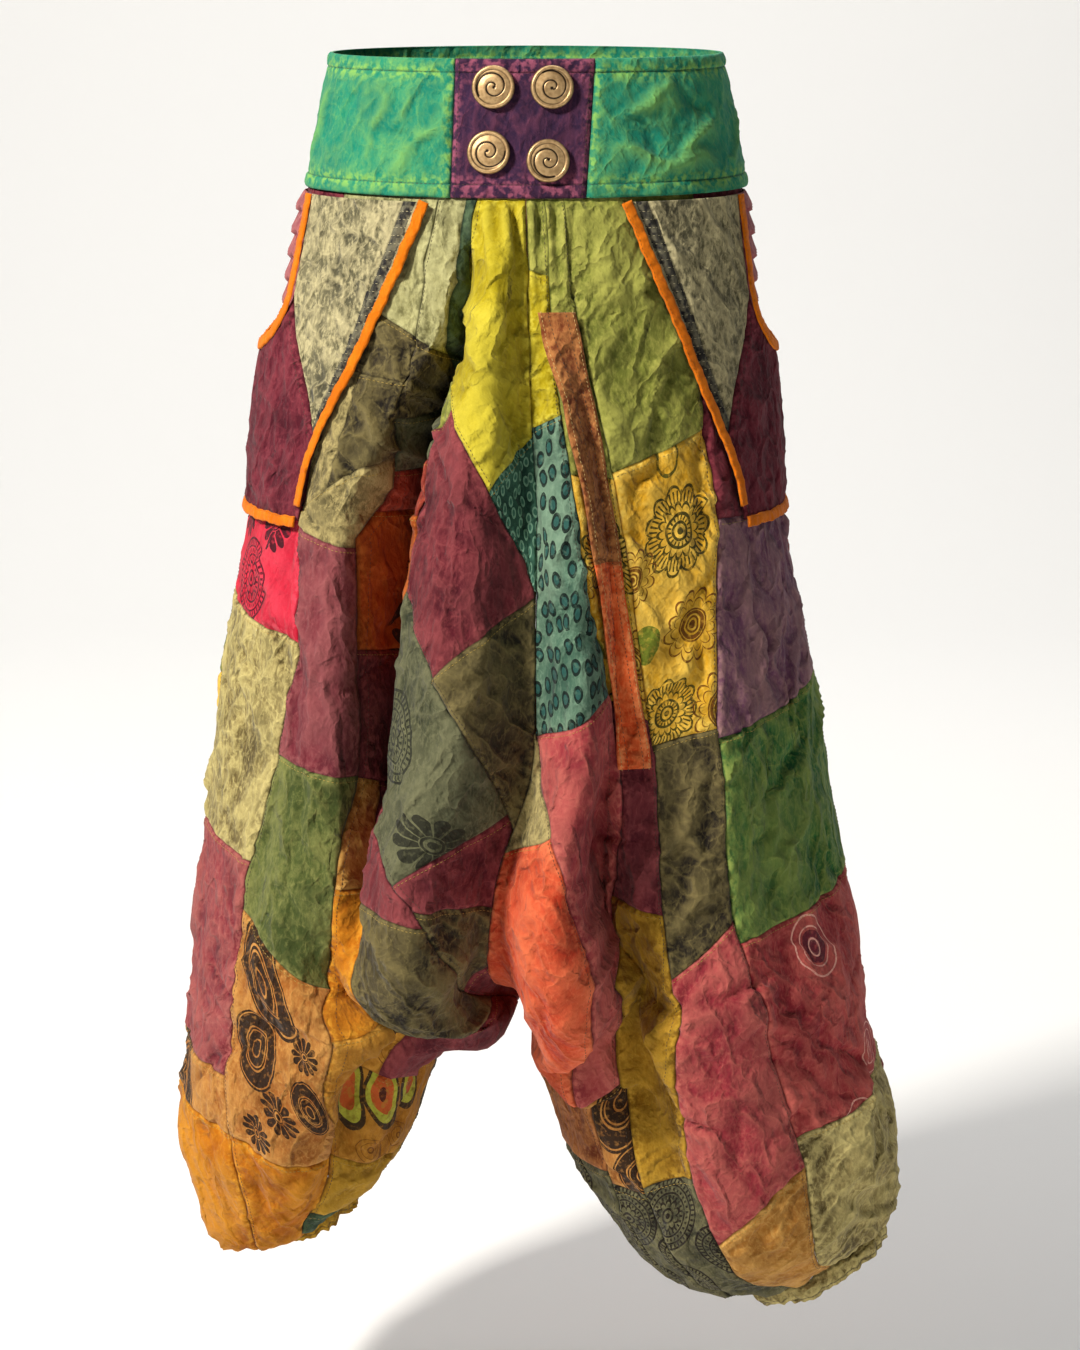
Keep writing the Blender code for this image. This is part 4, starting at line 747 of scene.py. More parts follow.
PRINTS = {
    "yellow_flower_cotton": [
        Print(LINE_FLOWER, (0.004, 0.062), 0.031, 1.10, 0.1, "#33320f"),
        Print(OPEN_FLOWER, (0.014, 0.138), 0.026, 1.10, 0.4, BROWN_INK),
        Print(LINE_FLOWER, (-0.014, 0.200), 0.025, 1.15, 0.7, "#3f3c12"),
        Print(OPEN_FLOWER, (0.032, 0.208), 0.025, 1.20, 0.2, BROWN_INK),
        Print(OPEN_FLOWER, (-0.040, 0.086), 0.022, 1.10, 0.9, BROWN_INK),
        Print(SPOT_RING, (0.004, 0.006), 0.010, 1.50, 0.3, "#4a4814"),
        Print(PLAIN_DISC, (-0.030, 0.140), 0.012, 1.30, 0.0, "#5f7020")],
    "red_rosette_cotton": [
        Print(ROSETTE, (0.002, 0.062), 0.028, 1.15, 0.0, "#3c0d1c"),
        Print(BLOCK_FLOWER, (-0.032, 0.014), 0.020, 1.10, 0.2, "#35121c"),
        Print(BLOCK_FLOWER, (0.030, 0.010), 0.022, 1.20, 0.5, "#35121c")],
    "olive_rosette_cotton": [
        Print(ROSETTE, (0.006, 0.118), 0.034, 1.10, 0.2, "#24251c"),
        Print(BLOCK_FLOWER, (0.010, 0.205), 0.028, 1.10, 0.6, "#2a2a20")],
    "brown_print_cotton": [
        Print(BLOCK_ROUNDEL, (0.012, 0.030), 0.030, 1.60, 0.5, INK),
        Print(BLOCK_ROUNDEL, (0.020, 0.096), 0.025, 1.20, 0.2, INK),
        Print(BLOCK_FLOWER, (-0.002, 0.138), 0.017, 1.15, 0.2, INK),
        Print(BLOCK_FLOWER, (-0.030, 0.070), 0.013, 1.15, 0.9, INK),
        Print(BLOCK_FLOWER, (0.026, 0.168), 0.015, 1.15, 0.5, INK),
        Print(BLOCK_ROUNDEL, (-0.036, 0.118), 0.016, 1.80, 0.1, INK)],
    "orange_leaf_cotton": [
        Print(PLAIN_DISC, (0.000, 0.048), 0.010, 1.90, 1.45, LEAF_INK),
        Print(CHAIN, (0.000, 0.048), 0.012, 1.90, 1.45, LEAF_INK),
        Print(PLAIN_DISC, (-0.008, 0.080), 0.004, 3.40, 0.25, LEAF_INK),
        Print(PLAIN_DISC, (0.012, 0.086), 0.005, 2.60, -0.6, LEAF_INK),
        Print(PLAIN_DISC, (-0.004, 0.108), 0.005, 3.40, 1.1, LEAF_INK),
        Print(PLAIN_DISC, (0.010, 0.122), 0.005, 3.20, 1.9, LEAF_INK)],
    "drop_print_cotton": [
        *eye(0.004, 0.020, 0.017, 1.90, 0.10),
        Print(PLAIN_DISC, (0.004, 0.016), 0.003, 2.40, 0.10, "#3a1a12"),
        *eye(-0.030, 0.012, 0.017, 1.70, 0.20), *eye(0.036, 0.024, 0.016, 2.00, 0.00),
        Print(SMALL_RINGS, (-0.020, 0.066), 0.013, 1.20, 0.30, BROWN_INK),
        Print(SMALL_RINGS, (0.014, 0.074), 0.012, 1.40, 0.90, BROWN_INK),
        Print(SMALL_RINGS, (-0.004, 0.098), 0.013, 1.20, 0.10, BROWN_INK)],
    "red_ring_cotton": [
        Print(SMALL_RINGS, (-0.024, 0.030), 0.022, 1.35, -0.3, PALE_INK),
        Print(PLAIN_DISC, (-0.024, 0.030), 0.011, 1.40, -0.3, "#5a1c2a"),
        Print(SPOT_RING, (-0.024, 0.030), 0.005, 1.80, -0.3, PALE_INK),
        Print(SMALL_RINGS, (0.030, 0.150), 0.022, 1.10, 0.4, PALE_INK),
        Print(SMALL_RINGS, (-0.030, 0.190), 0.020, 1.10, 0.4, PALE_INK)],
    "slate_paisley_cotton": [
        Print(ROSETTE, (-0.010, 0.030), 0.024, 1.50, 0.6, INK),
        Print(ROSETTE, (0.030, 0.075), 0.024, 1.40, -0.4, INK),
        Print(ROSETTE, (-0.024, 0.110), 0.022, 1.40, 0.3, INK)],
}


# Rows of upright oval rings over the whole cloth: their pitch, and the colours of middle and ring.
RINGS = {"teal_ring_cotton": (0.0160, "#244f4a", "#0d1a18"),
         "dark_teal_dot_cotton": (0.0095, "#3f6a58", "#79a288")}


def printed(material):
    """Lays the block prints on a cotton; the ink is thin in places, as from a worn block."""
    tree = material.node_tree
    shader = tree.nodes["Principled BSDF"]
    colour = shader.inputs["Base Color"].links[0].from_socket
    uv = add(tree, "ShaderNodeUVMap", uv_map="cloth")
    place = add(tree, "ShaderNodeTexCoord", out=3)
    thin = add(tree, "ShaderNodeTexNoise", {"Vector": place, "Scale": 260, "Detail": 4})
    thin = ramp(tree, thin, 0.30, 0.48, 0.45, 0.95)
    if material.name in RINGS:
        pitch, middle, ink = RINGS[material.name]
        squeezed = add(tree, "ShaderNodeVectorMath", {0: uv, 1: (1.35 / pitch, 0.85 / pitch, 0)},
                       operation="MULTIPLY")
        d = add(tree, "ShaderNodeTexVoronoi", {"Vector": squeezed, "Scale": 1.0, "Randomness": 0.45},
                voronoi_dimensions="2D")
        core = maths(tree, "LESS_THAN", d, 0.22)
        core = maths(tree, "MULTIPLY", core, thin)
        colour = mix(tree, core, colour, srgb(middle))
        rim = maths(tree, "COMPARE", d, 0.28, 0.075)
        rim = maths(tree, "MULTIPLY", rim, thin)
        colour = mix(tree, rim, colour, srgb(ink))
    for placed in PRINTS.get(material.name, []):
        mark = stamp(tree, uv, placed)
        mark = maths(tree, "MULTIPLY", mark, thin)
        colour = mix(tree, mark, colour, srgb(placed.ink))
    tree.links.new(colour, shader.inputs["Base Color"])


COTTONS = {name: cotton(name) for name in DYES}
for name in (*PRINTS, *RINGS):
    printed(COTTONS[name])


# ==== Leg strips ==============================================================================
# Long strips of patches sewn edge to edge, each strip one piece of the solid model.  The seams are
# felled: a sunk line with the turned allowance beside it, puckered by the wash.
# A seam is named by where it runs, and given by t and s of its points.
SEAMS = {
    "right": {
        "centre": [(0.00, 0.000), (1.00, 0.000)],
        "drape_upper": [(0.00, 0.080), (0.14, 0.120), (0.18, 0.088), (0.22, 0.060), (0.27, 0.026),
                        (0.31, 0.002), (0.37, 0.000), (1.00, 0.000)],
        "drape_middle": [(0.00, 0.080), (0.14, 0.122), (0.22, 0.142), (0.31, 0.160), (0.37, 0.108),
                         (0.43, 0.066), (0.48, 0.032), (0.52, 0.002), (0.58, 0.000), (1.00, 0.000)],
        "drape_lower": [(0.00, 0.080), (0.14, 0.122), (0.22, 0.142), (0.31, 0.162), (0.43, 0.182),
                        (0.48, 0.182), (0.52, 0.158), (0.58, 0.088), (0.64, 0.050), (0.69, 0.045),
                        (0.74, 0.052), (1.00, 0.070)],
        "pleat": [(0.00, 0.145), (0.14, 0.178), (0.27, 0.240), (0.37, 0.228), (0.48, 0.210), (0.58, 0.194),
                  (0.64, 0.193), (0.69, 0.203), (0.74, 0.262), (0.82, 0.220), (0.87, 0.186), (0.91, 0.184),
                  (1.00, 0.205)],
        "thigh": [(0.00, 0.330), (0.27, 0.318), (0.31, 0.302), (0.37, 0.292), (0.43, 0.308), (0.58, 0.325),
                  (0.69, 0.324), (0.74, 0.366), (0.82, 0.338), (0.91, 0.308), (1.00, 0.285)],
        "side": [(0.00, 0.520), (0.30, 0.515), (1.00, 0.520)],
        "seat_side": [(0.00, 0.670), (0.35, 0.690), (0.69, 0.680), (0.74, 0.660), (1.00, 0.670)],
        "seat": [(0.00, 0.845), (0.40, 0.835), (0.69, 0.840), (0.74, 0.800), (1.00, 0.820)],
        "back": [(0.00, 1.000), (1.00, 1.000)],
    },
    "left": {
        "centre": [(0.00, 0.000), (1.00, 0.000)],
        "drape_slant": [(0.00, 0.000), (0.37, 0.000), (0.43, 0.002), (0.48, 0.018), (0.52, 0.043),
                        (0.58, 0.077), (0.64, 0.103), (0.69, 0.114), (0.74, 0.135), (0.82, 0.120),
                        (1.00, 0.090)],
        "drape": [(0.00, 0.030), (0.14, 0.037), (0.22, 0.046), (0.27, 0.053), (0.31, 0.065), (0.37, 0.086),
                  (0.48, 0.112), (0.58, 0.140), (0.64, 0.142), (0.69, 0.132), (0.74, 0.155), (1.00, 0.140)],
        "inner": [(0.00, 0.062), (0.07, 0.070), (0.14, 0.088), (0.22, 0.110), (0.31, 0.125), (0.43, 0.143),
                  (0.52, 0.165), (0.58, 0.180), (0.69, 0.190), (0.74, 0.230), (0.87, 0.206), (1.00, 0.200)],
        "thigh": [(0.00, 0.300), (0.27, 0.262), (0.31, 0.247), (0.43, 0.226), (0.52, 0.240), (0.64, 0.258),
                  (0.69, 0.268), (0.74, 0.306), (0.87, 0.316), (1.00, 0.290)],
        "side": [(0.00, 0.520), (0.30, 0.515), (1.00, 0.520)],
        "seat_side": [(0.00, 0.680), (0.40, 0.665), (0.69, 0.680), (0.74, 0.660), (1.00, 0.680)],
        "seat": [(0.00, 0.840), (0.35, 0.850), (0.69, 0.840), (0.74, 0.800), (1.00, 0.820)],
        "back": [(0.00, 1.000), (1.00, 1.000)],
    },
}
# Patches of a strip from its top: the t where each one starts at the strip's first seam and at its
# last seam (first is nearer the front centre), and its cloth.  A patch pieced of two cloths has its
# own upright seam at the share "split" of its width, with the second cloth beyond.
Patch = namedtuple("Patch", "first last cloth split beyond", defaults=(None, None))
Strip = namedtuple("Strip", "name first last top bottom patches")
STRIPS = {
    "right": [
        Strip("drape_top", "centre", "drape_upper", 0.00, 0.31, [
            Patch(0.00, 0.00, "yellow_cotton"), Patch(0.185, 0.228, "dark_teal_dot_cotton")]),
        Strip("drape_mid", "drape_upper", "drape_middle", 0.14, 0.52, [
            Patch(0.14, 0.14, "lime_khaki_cotton"), Patch(0.165, 0.180, "plum_cotton"),
            Patch(0.315, 0.375, "brown_acid_cotton")]),
        Strip("drape_low", "drape_middle", "drape_lower", 0.31, 1.00, [
            Patch(0.31, 0.31, "olive_rosette_cotton"), Patch(0.505, 0.565, "plum_cotton"),
            Patch(0.600, 0.585, "brown_acid_cotton"), Patch(0.665, 0.690, "plum_cotton"),
            # the coral patch here is the darker copy, painted shade where the drape turns under by the crotch
            Patch(0.735, 0.745, "coral_in_painted_shade_cotton"), Patch(0.79, 0.79, "slate_paisley_cotton"),
            Patch(0.93, 0.92, "bottle_green_cotton")]),
        Strip("pleat_floor", "drape_lower", "pleat", 0.00, 1.00, [
            Patch(0.00, 0.00, "bottle_green_cotton", 0.30, "khaki_cotton"),
            Patch(0.125, 0.110, "bottle_green_cotton", 0.25, "brown_acid_cotton"),
            # the coral patch on the pleat's floor is the darker copy, painted shade of the deep pleat
            Patch(0.150, 0.175, "olive_rosette_cotton"), Patch(0.205, 0.215, "coral_in_painted_shade_cotton"),
            Patch(0.250, 0.250, "orange_leaf_cotton"), Patch(0.385, 0.365, "plum_cotton"),
            Patch(0.500, 0.480, "plum_cotton", 0.72, "tan_cotton"),
            Patch(0.600, 0.585, "brown_acid_cotton", 0.70, "orange_cotton"),
            Patch(0.715, 0.735, "plum_cotton", 0.60, "drop_print_cotton"),
            Patch(0.800, 0.790, "drop_print_cotton"), Patch(0.890, 0.885, "mustard_cotton"),
            Patch(0.945, 0.945, "bottle_green_cotton")]),
        Strip("front", "pleat", "thigh", 0.00, 1.00, [
            Patch(0.00, 0.00, "khaki_cotton"), Patch(0.109, 0.066, "brown_acid_cotton"),
            Patch(0.145, 0.135, "brown_acid_cotton", 0.52, "straw_speckle_cotton"),
            Patch(0.205, 0.258, "straw_speckle_cotton"), Patch(0.280, 0.265, "mauve_cotton"),
            Patch(0.478, 0.464, "sage_cotton"), Patch(0.690, 0.620, "brown_print_cotton"),
            Patch(0.880, 0.850, "orange_cotton")]),
        Strip("side", "thigh", "side", 0.00, 1.00, [
            Patch(0.00, 0.00, "maroon_cotton"), Patch(0.250, 0.255, "red_rosette_cotton"),
            Patch(0.362, 0.338, "straw_acid_cotton"), Patch(0.570, 0.548, "wine_cotton"),
            Patch(0.795, 0.785, "brown_print_cotton"), Patch(0.850, 0.830, "orange_cotton")]),
        Strip("side_back", "side", "seat_side", 0.00, 1.00, [
            Patch(0.00, 0.00, "lilac_cotton"), Patch(0.255, 0.270, "sage_cotton"),
            Patch(0.420, 0.450, "yellow_flower_cotton"), Patch(0.640, 0.610, "plum_cotton"),
            Patch(0.830, 0.840, "orange_cotton")]),
        Strip("seat_outer", "seat_side", "seat", 0.00, 1.00, [
            Patch(0.00, 0.00, "khaki_cotton"), Patch(0.180, 0.150, "brown_print_cotton"),
            Patch(0.390, 0.420, "leaf_green_cotton"), Patch(0.600, 0.575, "red_rosette_cotton"),
            Patch(0.770, 0.800, "straw_acid_cotton"), Patch(0.920, 0.915, "brown_acid_cotton")]),
        Strip("seat_inner", "seat", "back", 0.00, 1.00, [
            Patch(0.00, 0.00, "wine_cotton"), Patch(0.120, 0.160, "olive_rosette_cotton"),
            Patch(0.340, 0.310, "mustard_cotton"), Patch(0.500, 0.530, "lilac_cotton"),
            Patch(0.690, 0.665, "coral_cotton"), Patch(0.850, 0.850, "slate_paisley_cotton")]),
    ],
    "left": [
        Strip("drape_low", "centre", "drape_slant", 0.43, 1.00, [
            Patch(0.43, 0.43, "straw_speckle_cotton"), Patch(0.545, 0.515, "coral_cotton"),
            Patch(0.775, 0.785, "brown_strap_cotton"), Patch(0.865, 0.870, "slate_paisley_cotton")]),
        Strip("drape_top", "drape_slant", "drape", 0.00, 1.00, [
            Patch(0.00, 0.00, "lime_khaki_cotton"), Patch(0.055, 0.060, "yellow_cotton"),
            Patch(0.178, 0.168, "teal_ring_cotton"), Patch(0.432, 0.392, "rose_cotton"),
            Patch(0.775, 0.770, "brown_print_cotton"), Patch(0.880, 0.885, "slate_paisley_cotton")]),
        Strip("inner", "drape", "inner", 0.00, 1.00, [
            Patch(0.00, 0.00, "lime_khaki_cotton"), Patch(0.100, 0.110, "lime_khaki_cotton"),
            Patch(0.215, 0.220, "yellow_flower_cotton"), Patch(0.400, 0.420, "plum_cotton"),
            Patch(0.600, 0.610, "mustard_cotton"), Patch(0.880, 0.870, "slate_paisley_cotton")]),
        Strip("front", "inner", "thigh", 0.00, 1.00, [
            Patch(0.00, 0.00, "lime_khaki_cotton"), Patch(0.215, 0.186, "yellow_flower_cotton"),
            Patch(0.443, 0.430, "brown_acid_cotton"), Patch(0.675, 0.618, "rose_cotton"),
            Patch(0.925, 0.870, "tan_cotton")]),
        Strip("side", "thigh", "side", 0.00, 1.00, [
            Patch(0.00, 0.00, "maroon_cotton"), Patch(0.258, 0.262, "lilac_cotton"),
            Patch(0.440, 0.408, "leaf_green_cotton"), Patch(0.642, 0.598, "red_ring_cotton"),
            Patch(0.842, 0.808, "straw_acid_cotton")]),
        Strip("side_back", "side", "seat_side", 0.00, 1.00, [
            Patch(0.00, 0.00, "sage_cotton"), Patch(0.250, 0.270, "wine_cotton"),
            Patch(0.410, 0.440, "brown_print_cotton"), Patch(0.600, 0.575, "straw_acid_cotton"),
            Patch(0.800, 0.820, "mauve_cotton"), Patch(0.930, 0.930, "brown_acid_cotton")]),
        Strip("seat_outer", "seat_side", "seat", 0.00, 1.00, [
            Patch(0.00, 0.00, "plum_cotton"), Patch(0.165, 0.200, "yellow_flower_cotton"),
            Patch(0.400, 0.370, "olive_rosette_cotton"), Patch(0.590, 0.620, "teal_ring_cotton"),
            Patch(0.790, 0.760, "coral_cotton"), Patch(0.920, 0.925, "tan_cotton")]),
        Strip("seat_inner", "seat", "back", 0.00, 1.00, [
            Patch(0.00, 0.00, "brown_acid_cotton"), Patch(0.140, 0.120, "leaf_green_cotton"),
            Patch(0.310, 0.345, "rose_cotton"), Patch(0.530, 0.500, "brown_print_cotton"),
            Patch(0.700, 0.680, "sage_cotton"), Patch(0.860, 0.850, "bottle_green_cotton")]),
    ],
}
CLOTH_THICK = 0.0011
SEAM_SPACING = (0.0, 0.0014, 0.0038, 0.0075)     # lines of points beside every seam
POINT_SPACING = 0.0037         # between the points elsewhere
SEAM_SINK, ALLOWANCE_RISE, PUCKER_PITCH = 0.0013, 0.0006, 0.0095
SEAM_EASE = 0.00012            # left free along a strip's edges
SMALLEST_FLAT = 0.0105         # a cut piece is at least this wide with its turnings



def spaced(length, spacing=POINT_SPACING, beside=SEAM_SPACING):
    """Shares from 0 to 1 across a piece of that length: close beside both edges, even between."""
    if length < 2.6 * beside[-1]:
        return np.linspace(0, 1, 7)
    count = max(int((length - 2 * beside[-1]) / spacing), 1)
    middle = np.linspace(beside[-1], length - beside[-1], count + 1)
    edge = np.array(beside[:-1])
    return np.concatenate([edge, middle, length - edge[::-1]]) / length


def seam_profile(distance, points, pucker=0.0010):
    """Height beside a seam: a sunk line, then the raised allowance, puckered by the wash."""
    sunk = -SEAM_SINK * np.exp(-(distance / 0.0014)**2)
    allowance = ALLOWANCE_RISE * np.exp(-((distance - 0.0050) / 0.0035)**2)
    ripple = soft_noise(points.reshape(-1, 3) / PUCKER_PITCH).reshape(distance.shape)
    return sunk + allowance + pucker * ripple * np.exp(-(distance / 0.0120)**2)


def tag(mesh, label, values):
    """Gives every point of a mesh a number that its material reads."""
    layer = mesh.attributes.new(label, "FLOAT", "POINT")
    layer.data.foreach_set("value", np.asarray(values, np.float32))


def sew(name, outer, inner, seam, crest, bands, cloths, ring=False):
    """One piece of cloth between two grids of points [row, column]; ring: columns close round."""
    rows, columns = outer.shape[:2]
    number = np.arange(rows * columns).reshape(rows, columns)
    if ring:
        number = np.concatenate([number, number[:, :1]], axis=1)
    a, b, c, d = number[:-1, :-1], number[:-1, 1:], number[1:, 1:], number[1:, :-1]
    front = np.stack([a, d, c, b], axis=-1).reshape(-1, 4)
    bands = np.asarray(bands)
    if bands.ndim == 1:
        bands = np.repeat(bands[:, None], number.shape[1] - 1, axis=1)
    band = bands.ravel()
    mid = ((rows - 1) // 2, (columns - 1) // 2)
    across, down = outer[mid[0], mid[1] + 1] - outer[mid], outer[mid[0] + 1, mid[1]] - outer[mid]
    turned = np.dot(np.cross(down, across), outer[mid] - inner[mid]) < 0
    if turned:
        front = front[:, ::-1]
    back = front[:, ::-1] + rows * columns
    rims, rim_band = [], []
    for row, flip in ((0, True), (-1, False)):
        i, j = number[row, :-1], number[row, 1:]
        quad = np.stack([i, j, j + rows * columns, i + rows * columns], axis=-1)
        rims.append(quad[:, ::-1] if flip == turned else quad)
        rim_band += list(bands[row])
    if not ring:
        for column, flip in ((0, False), (-1, True)):
            i, j = number[:-1, column], number[1:, column]
            quad = np.stack([i, j, j + rows * columns, i + rows * columns], axis=-1)
            rims.append(quad[:, ::-1] if flip == turned else quad)
            rim_band += list(bands[:, column])
    faces = np.concatenate([front, back, *rims])
    mesh = bpy.data.meshes.new(name)
    mesh.from_pydata(np.concatenate([outer.reshape(-1, 3), inner.reshape(-1, 3)]).tolist(), [],
                     faces.tolist())
    for cloth in cloths:
        mesh.materials.append(COTTONS[cloth])
    which = np.concatenate([band, band, rim_band]).astype(np.int32)
    mesh.polygons.foreach_set("material_index", which)
    mesh.polygons.foreach_set("use_smooth", np.ones(len(faces), bool))
    tag(mesh, "seam", np.tile(seam.ravel(), 2))
    tag(mesh, "crest", np.tile(crest.ravel(), 2))
    # cloth measure: metres across from the middle line, and down from the top of each patch
    step = np.linalg.norm(np.diff(outer, axis=1), axis=2)
    width = np.concatenate([np.zeros((rows, 1)), np.cumsum(step, axis=1)], axis=1)
    width -= width[:, -1:] / 2
    drop = run(outer[:, columns // 2])
    begin = np.zeros(bands.max() + 1)
    for i in range(len(bands) - 1, -1, -1):
        begin[bands[i]] = drop[i]
    flat_u = np.concatenate([width.ravel()] * 2)
    flat_v = np.concatenate([np.repeat(drop, columns)] * 2)
    loops = faces.ravel()
    layer = mesh.uv_layers.new(name="cloth")
    v = flat_v[loops] - np.repeat(begin[which], 4)
    layer.data.foreach_set("uv", np.stack([flat_u[loops], v], axis=-1).ravel().astype(np.float32))
    mesh.validate()
    return put(name, mesh)


# lines of stitches by their thread: noted as the pieces are sewn, laid in the last section
stitch_lines = {thread: [] for thread in ("dark", "ochre", "pale", "bar", "orange")}


def cloth_piece(name, node, outer, inner, seam, crest, bands, cloths, ring=False):
    """Sews a piece, attaches it to its body and hides the solid it stands for; the size it is cut is worked
    out but not kept.
    """
    piece = sew(name, outer, inner, seam, crest, bands, cloths, ring)
    closed = np.concatenate([outer, outer[:, :1]], axis=1) if ring else outer
    widths = np.linalg.norm(np.diff(closed, axis=1), axis=2).sum(axis=1)
    spans = np.linalg.norm(np.diff(outer, axis=0), axis=2)
    width, length = float(widths.max()) + CLOTH_THICK, float(spans.sum(axis=0).max()) + CLOTH_THICK
    width, length = max(width, SMALLEST_FLAT), max(length, SMALLEST_FLAT)
    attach(piece, "root")
    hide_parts(node)
    return piece


def strip_piece(side, strip):
    """Sews a strip: rows of points follow the slanting joins of its patches, columns its seams."""
    first, last = SEAMS[side][strip.first], SEAMS[side][strip.last]
    starts = [(p.first, p.last) for p in strip.patches] + [(strip.bottom, strip.bottom)]
    middle_t = np.linspace(strip.top, strip.bottom, 60)
    widths = (line_at(last, middle_t) - line_at(first, middle_t)) * girth_at(side, middle_t)
    across = spaced(max(np.percentile(widths, 60), 0.02))
    rows_t, bands, down = [], [], []
    for n in range(len(strip.patches)):
        a, b = np.array(starts[n]), np.array(starts[n + 1])
        length = (b - a).mean() * LEG_LENGTH
        shares = spaced(max(length, 0.01))
        shares = shares if n == len(strip.patches) - 1 else shares[:-1]
        for k in shares:
            rows_t.append(a + (b - a) * k)
            down.append(min(k, 1 - k) * length)
            bands.append(n)
    bands = np.repeat(np.array(bands[:-1])[:, None], len(across) - 1, axis=1)
    cloths = [p.cloth for p in strip.patches]
    rows_t, down = np.array(rows_t), np.array(down)
    t = rows_t[:, :1] * (1 - across) + rows_t[:, 1:] * across
    left, right = line_at(first, t), line_at(last, t)
    girth = girth_at(side, t)
    ease = SEAM_EASE / girth
    s = left + ease + (right - left - 2 * ease) * across
    beside = np.minimum(across, 1 - across) * (right - left) * girth
    seam = np.minimum(beside, down[:, None])
    first_rows = [int(np.argmax(bands[:, 0] == n)) for n in range(len(strip.patches))]
    for n, patch in enumerate(strip.patches):
        if patch.split:
            inside = np.flatnonzero(bands[:, 0] == n)
            parting = np.argmin(np.abs(across - patch.split))
            bands[inside, parting:] = len(cloths)
            cloths.append(patch.beyond)
            apart = np.abs(across - across[parting]) * ((right - left) * girth)[inside]
            seam[inside] = np.minimum(seam[inside], apart)
    points = on_sheet(side, s, t)
    lift = seam_profile(seam, points) * np.clip(t / 0.02, 0, 1)
    lift *= 1 - 0.8 * read_grid(COVERED, s, t)
    outer = on_sheet(side, s, t, lift)
    inner = on_sheet(side, s, t, np.minimum(lift, 0.0) - CLOTH_THICK)
    crest = read_grid(HEIGHT[side], s, t)
    stitch_lines["dark"].append(outer[:, -3])
    for n in range(1, len(strip.patches)):
        stitch_lines["ochre"].append(outer[min(first_rows[n] + 2, len(outer) - 1)])
    return cloth_piece(f"{side}_{strip.name}_strip", f"{side}_{strip.name}", outer, inner,
                       seam, crest, bands, cloths)


for side, strips in STRIPS.items():
    for strip in strips:
        strip_piece(side, strip)

# ==== Cuffs ===================================================================================
# A casing with elastic in it closes each leg; it draws the cloth into small gathers.
# Each is a ring that carries on from the gathered end of the leg, with a frilled heading below it.
CUFF_HEIGHT = 0.018
CUFF_COLUMNS = 240
ELASTIC_GATHERS, ELASTIC_DEPTH = 44, 0.0008
CASING_TOP, CASING_END, CUFF_THICK = 0.0016, 0.0144, 0.0014   # stitched above and below the elastic
CUFF_CLOTH = {"right": "mustard_cotton", "left": "straw_acid_cotton"}


def cuff(side):
    """Sews a casing: rings of points from the gathered end of the leg down to the frill."""
    s = np.arange(CUFF_COLUMNS) / CUFF_COLUMNS
    smooth_end = on_sheet(side, s, np.ones_like(s), worn=False)
    worn_end = on_sheet(side, s, np.ones_like(s))
    middle = smooth_end.mean(axis=0)
    quarter = CUFF_COLUMNS // 4
    axis = np.cross(smooth_end[quarter] - middle, smooth_end[0] - middle)
    axis *= math.copysign(1, -axis[2]) / np.linalg.norm(axis)
    drops = np.array([0.0004, 0.0016, 0.0030, 0.0050, 0.0070, 0.0090, 0.0110, 0.0130, 0.0144, 0.0154, 0.0168,
                      CUFF_HEIGHT])
    outer, inner, seam = [], [], []
    for drop in drops:
        belly = 0.955 + 0.045 * math.sin(math.pi * min(drop / 0.0150, 1.0))
        frill = np.clip((drop - CASING_END) / (CUFF_HEIGHT - CASING_END), 0, 1)
        gathers = np.sin(2 * math.pi * ELASTIC_GATHERS * s + 1.9 * np.sin(8 * math.pi * s))
        gathers = gathers * (0.6 + 0.4 * np.sin(12 * math.pi * s + 1))
        ripple = ELASTIC_DEPTH * gathers * (1 + 0.2 * frill)
        from_middle = worn_end - middle
        unit = from_middle / np.linalg.norm(from_middle, axis=1, keepdims=True)
        ring = middle + from_middle * (belly - 0.012 * frill) + unit * ripple[:, None] + axis * drop
        outer.append(ring)
        inner.append(ring - unit * CUFF_THICK)
        seam.append(np.full(CUFF_COLUMNS, min(abs(drop - CASING_TOP), abs(drop - CASING_END))))
    outer, inner = np.array(outer), np.array(inner)
    crest = np.broadcast_to(ELASTIC_DEPTH * gathers, outer.shape[:2])
    stitch_lines["dark"].append(outer[8])
    cloth_piece(f"{side}_cuff_casing", f"{side}_cuff", outer, inner, np.array(seam),
                crest, [0] * (len(drops) - 1), [CUFF_CLOTH[side]], ring=True)


for side in STRIPS:
    cuff(side)

# ==== Pockets =================================================================================
# A slanting patch pocket wraps each hip: two leaf-shaped facings and a bag below its dipped mouth.
# Each is a shell over the leg, standing off it round the mouth; pin tucks fill the space behind.
LEAF_EDGE = [(0.00, 0.410), (0.085, 0.408), (0.12, 0.385), (0.16, 0.343), (0.20, 0.306)]
LEAF_END = 0.198          # t where the facing runs out against the pocket's front edge
MOUTH_TURN, MOUTH_LOW = 0.085, 0.136     # t where the mouth starts to curve, and of its lowest point
POCKET_TOP, POCKET_HEM = 0.004, 0.262
POCKET_BULGE, POCKET_LIFT, POCKET_CLOTH = 0.015, 0.0034, 0.0015
TUCK_PANEL = (0.375, 0.625, 0.16)        # s from, s to, t of its end
TUCK_PITCH, TUCK_DEPTH, TUCK_STAND = 0.0185, 0.0046, 0.0050
POCKET_CRUMPLE = 0.0019


def pocket_lift(s, t):
    """How far the pocket's cloth stands off the strips: most at the mouth's low point."""
    round_side = np.exp(-((s - 0.5) / 0.105)**2)
    upper = np.sin(math.pi / 2 * np.clip(t / MOUTH_LOW, 0, 1))**1.3
    fade = np.clip((t - MOUTH_LOW) / (POCKET_HEM - MOUTH_LOW), 0, 1)
    lower = np.clip(np.cos(math.pi / 2 * fade), 0, 1)**0.8
    return POCKET_LIFT + POCKET_BULGE * round_side * np.where(t <= MOUTH_LOW, upper, lower)


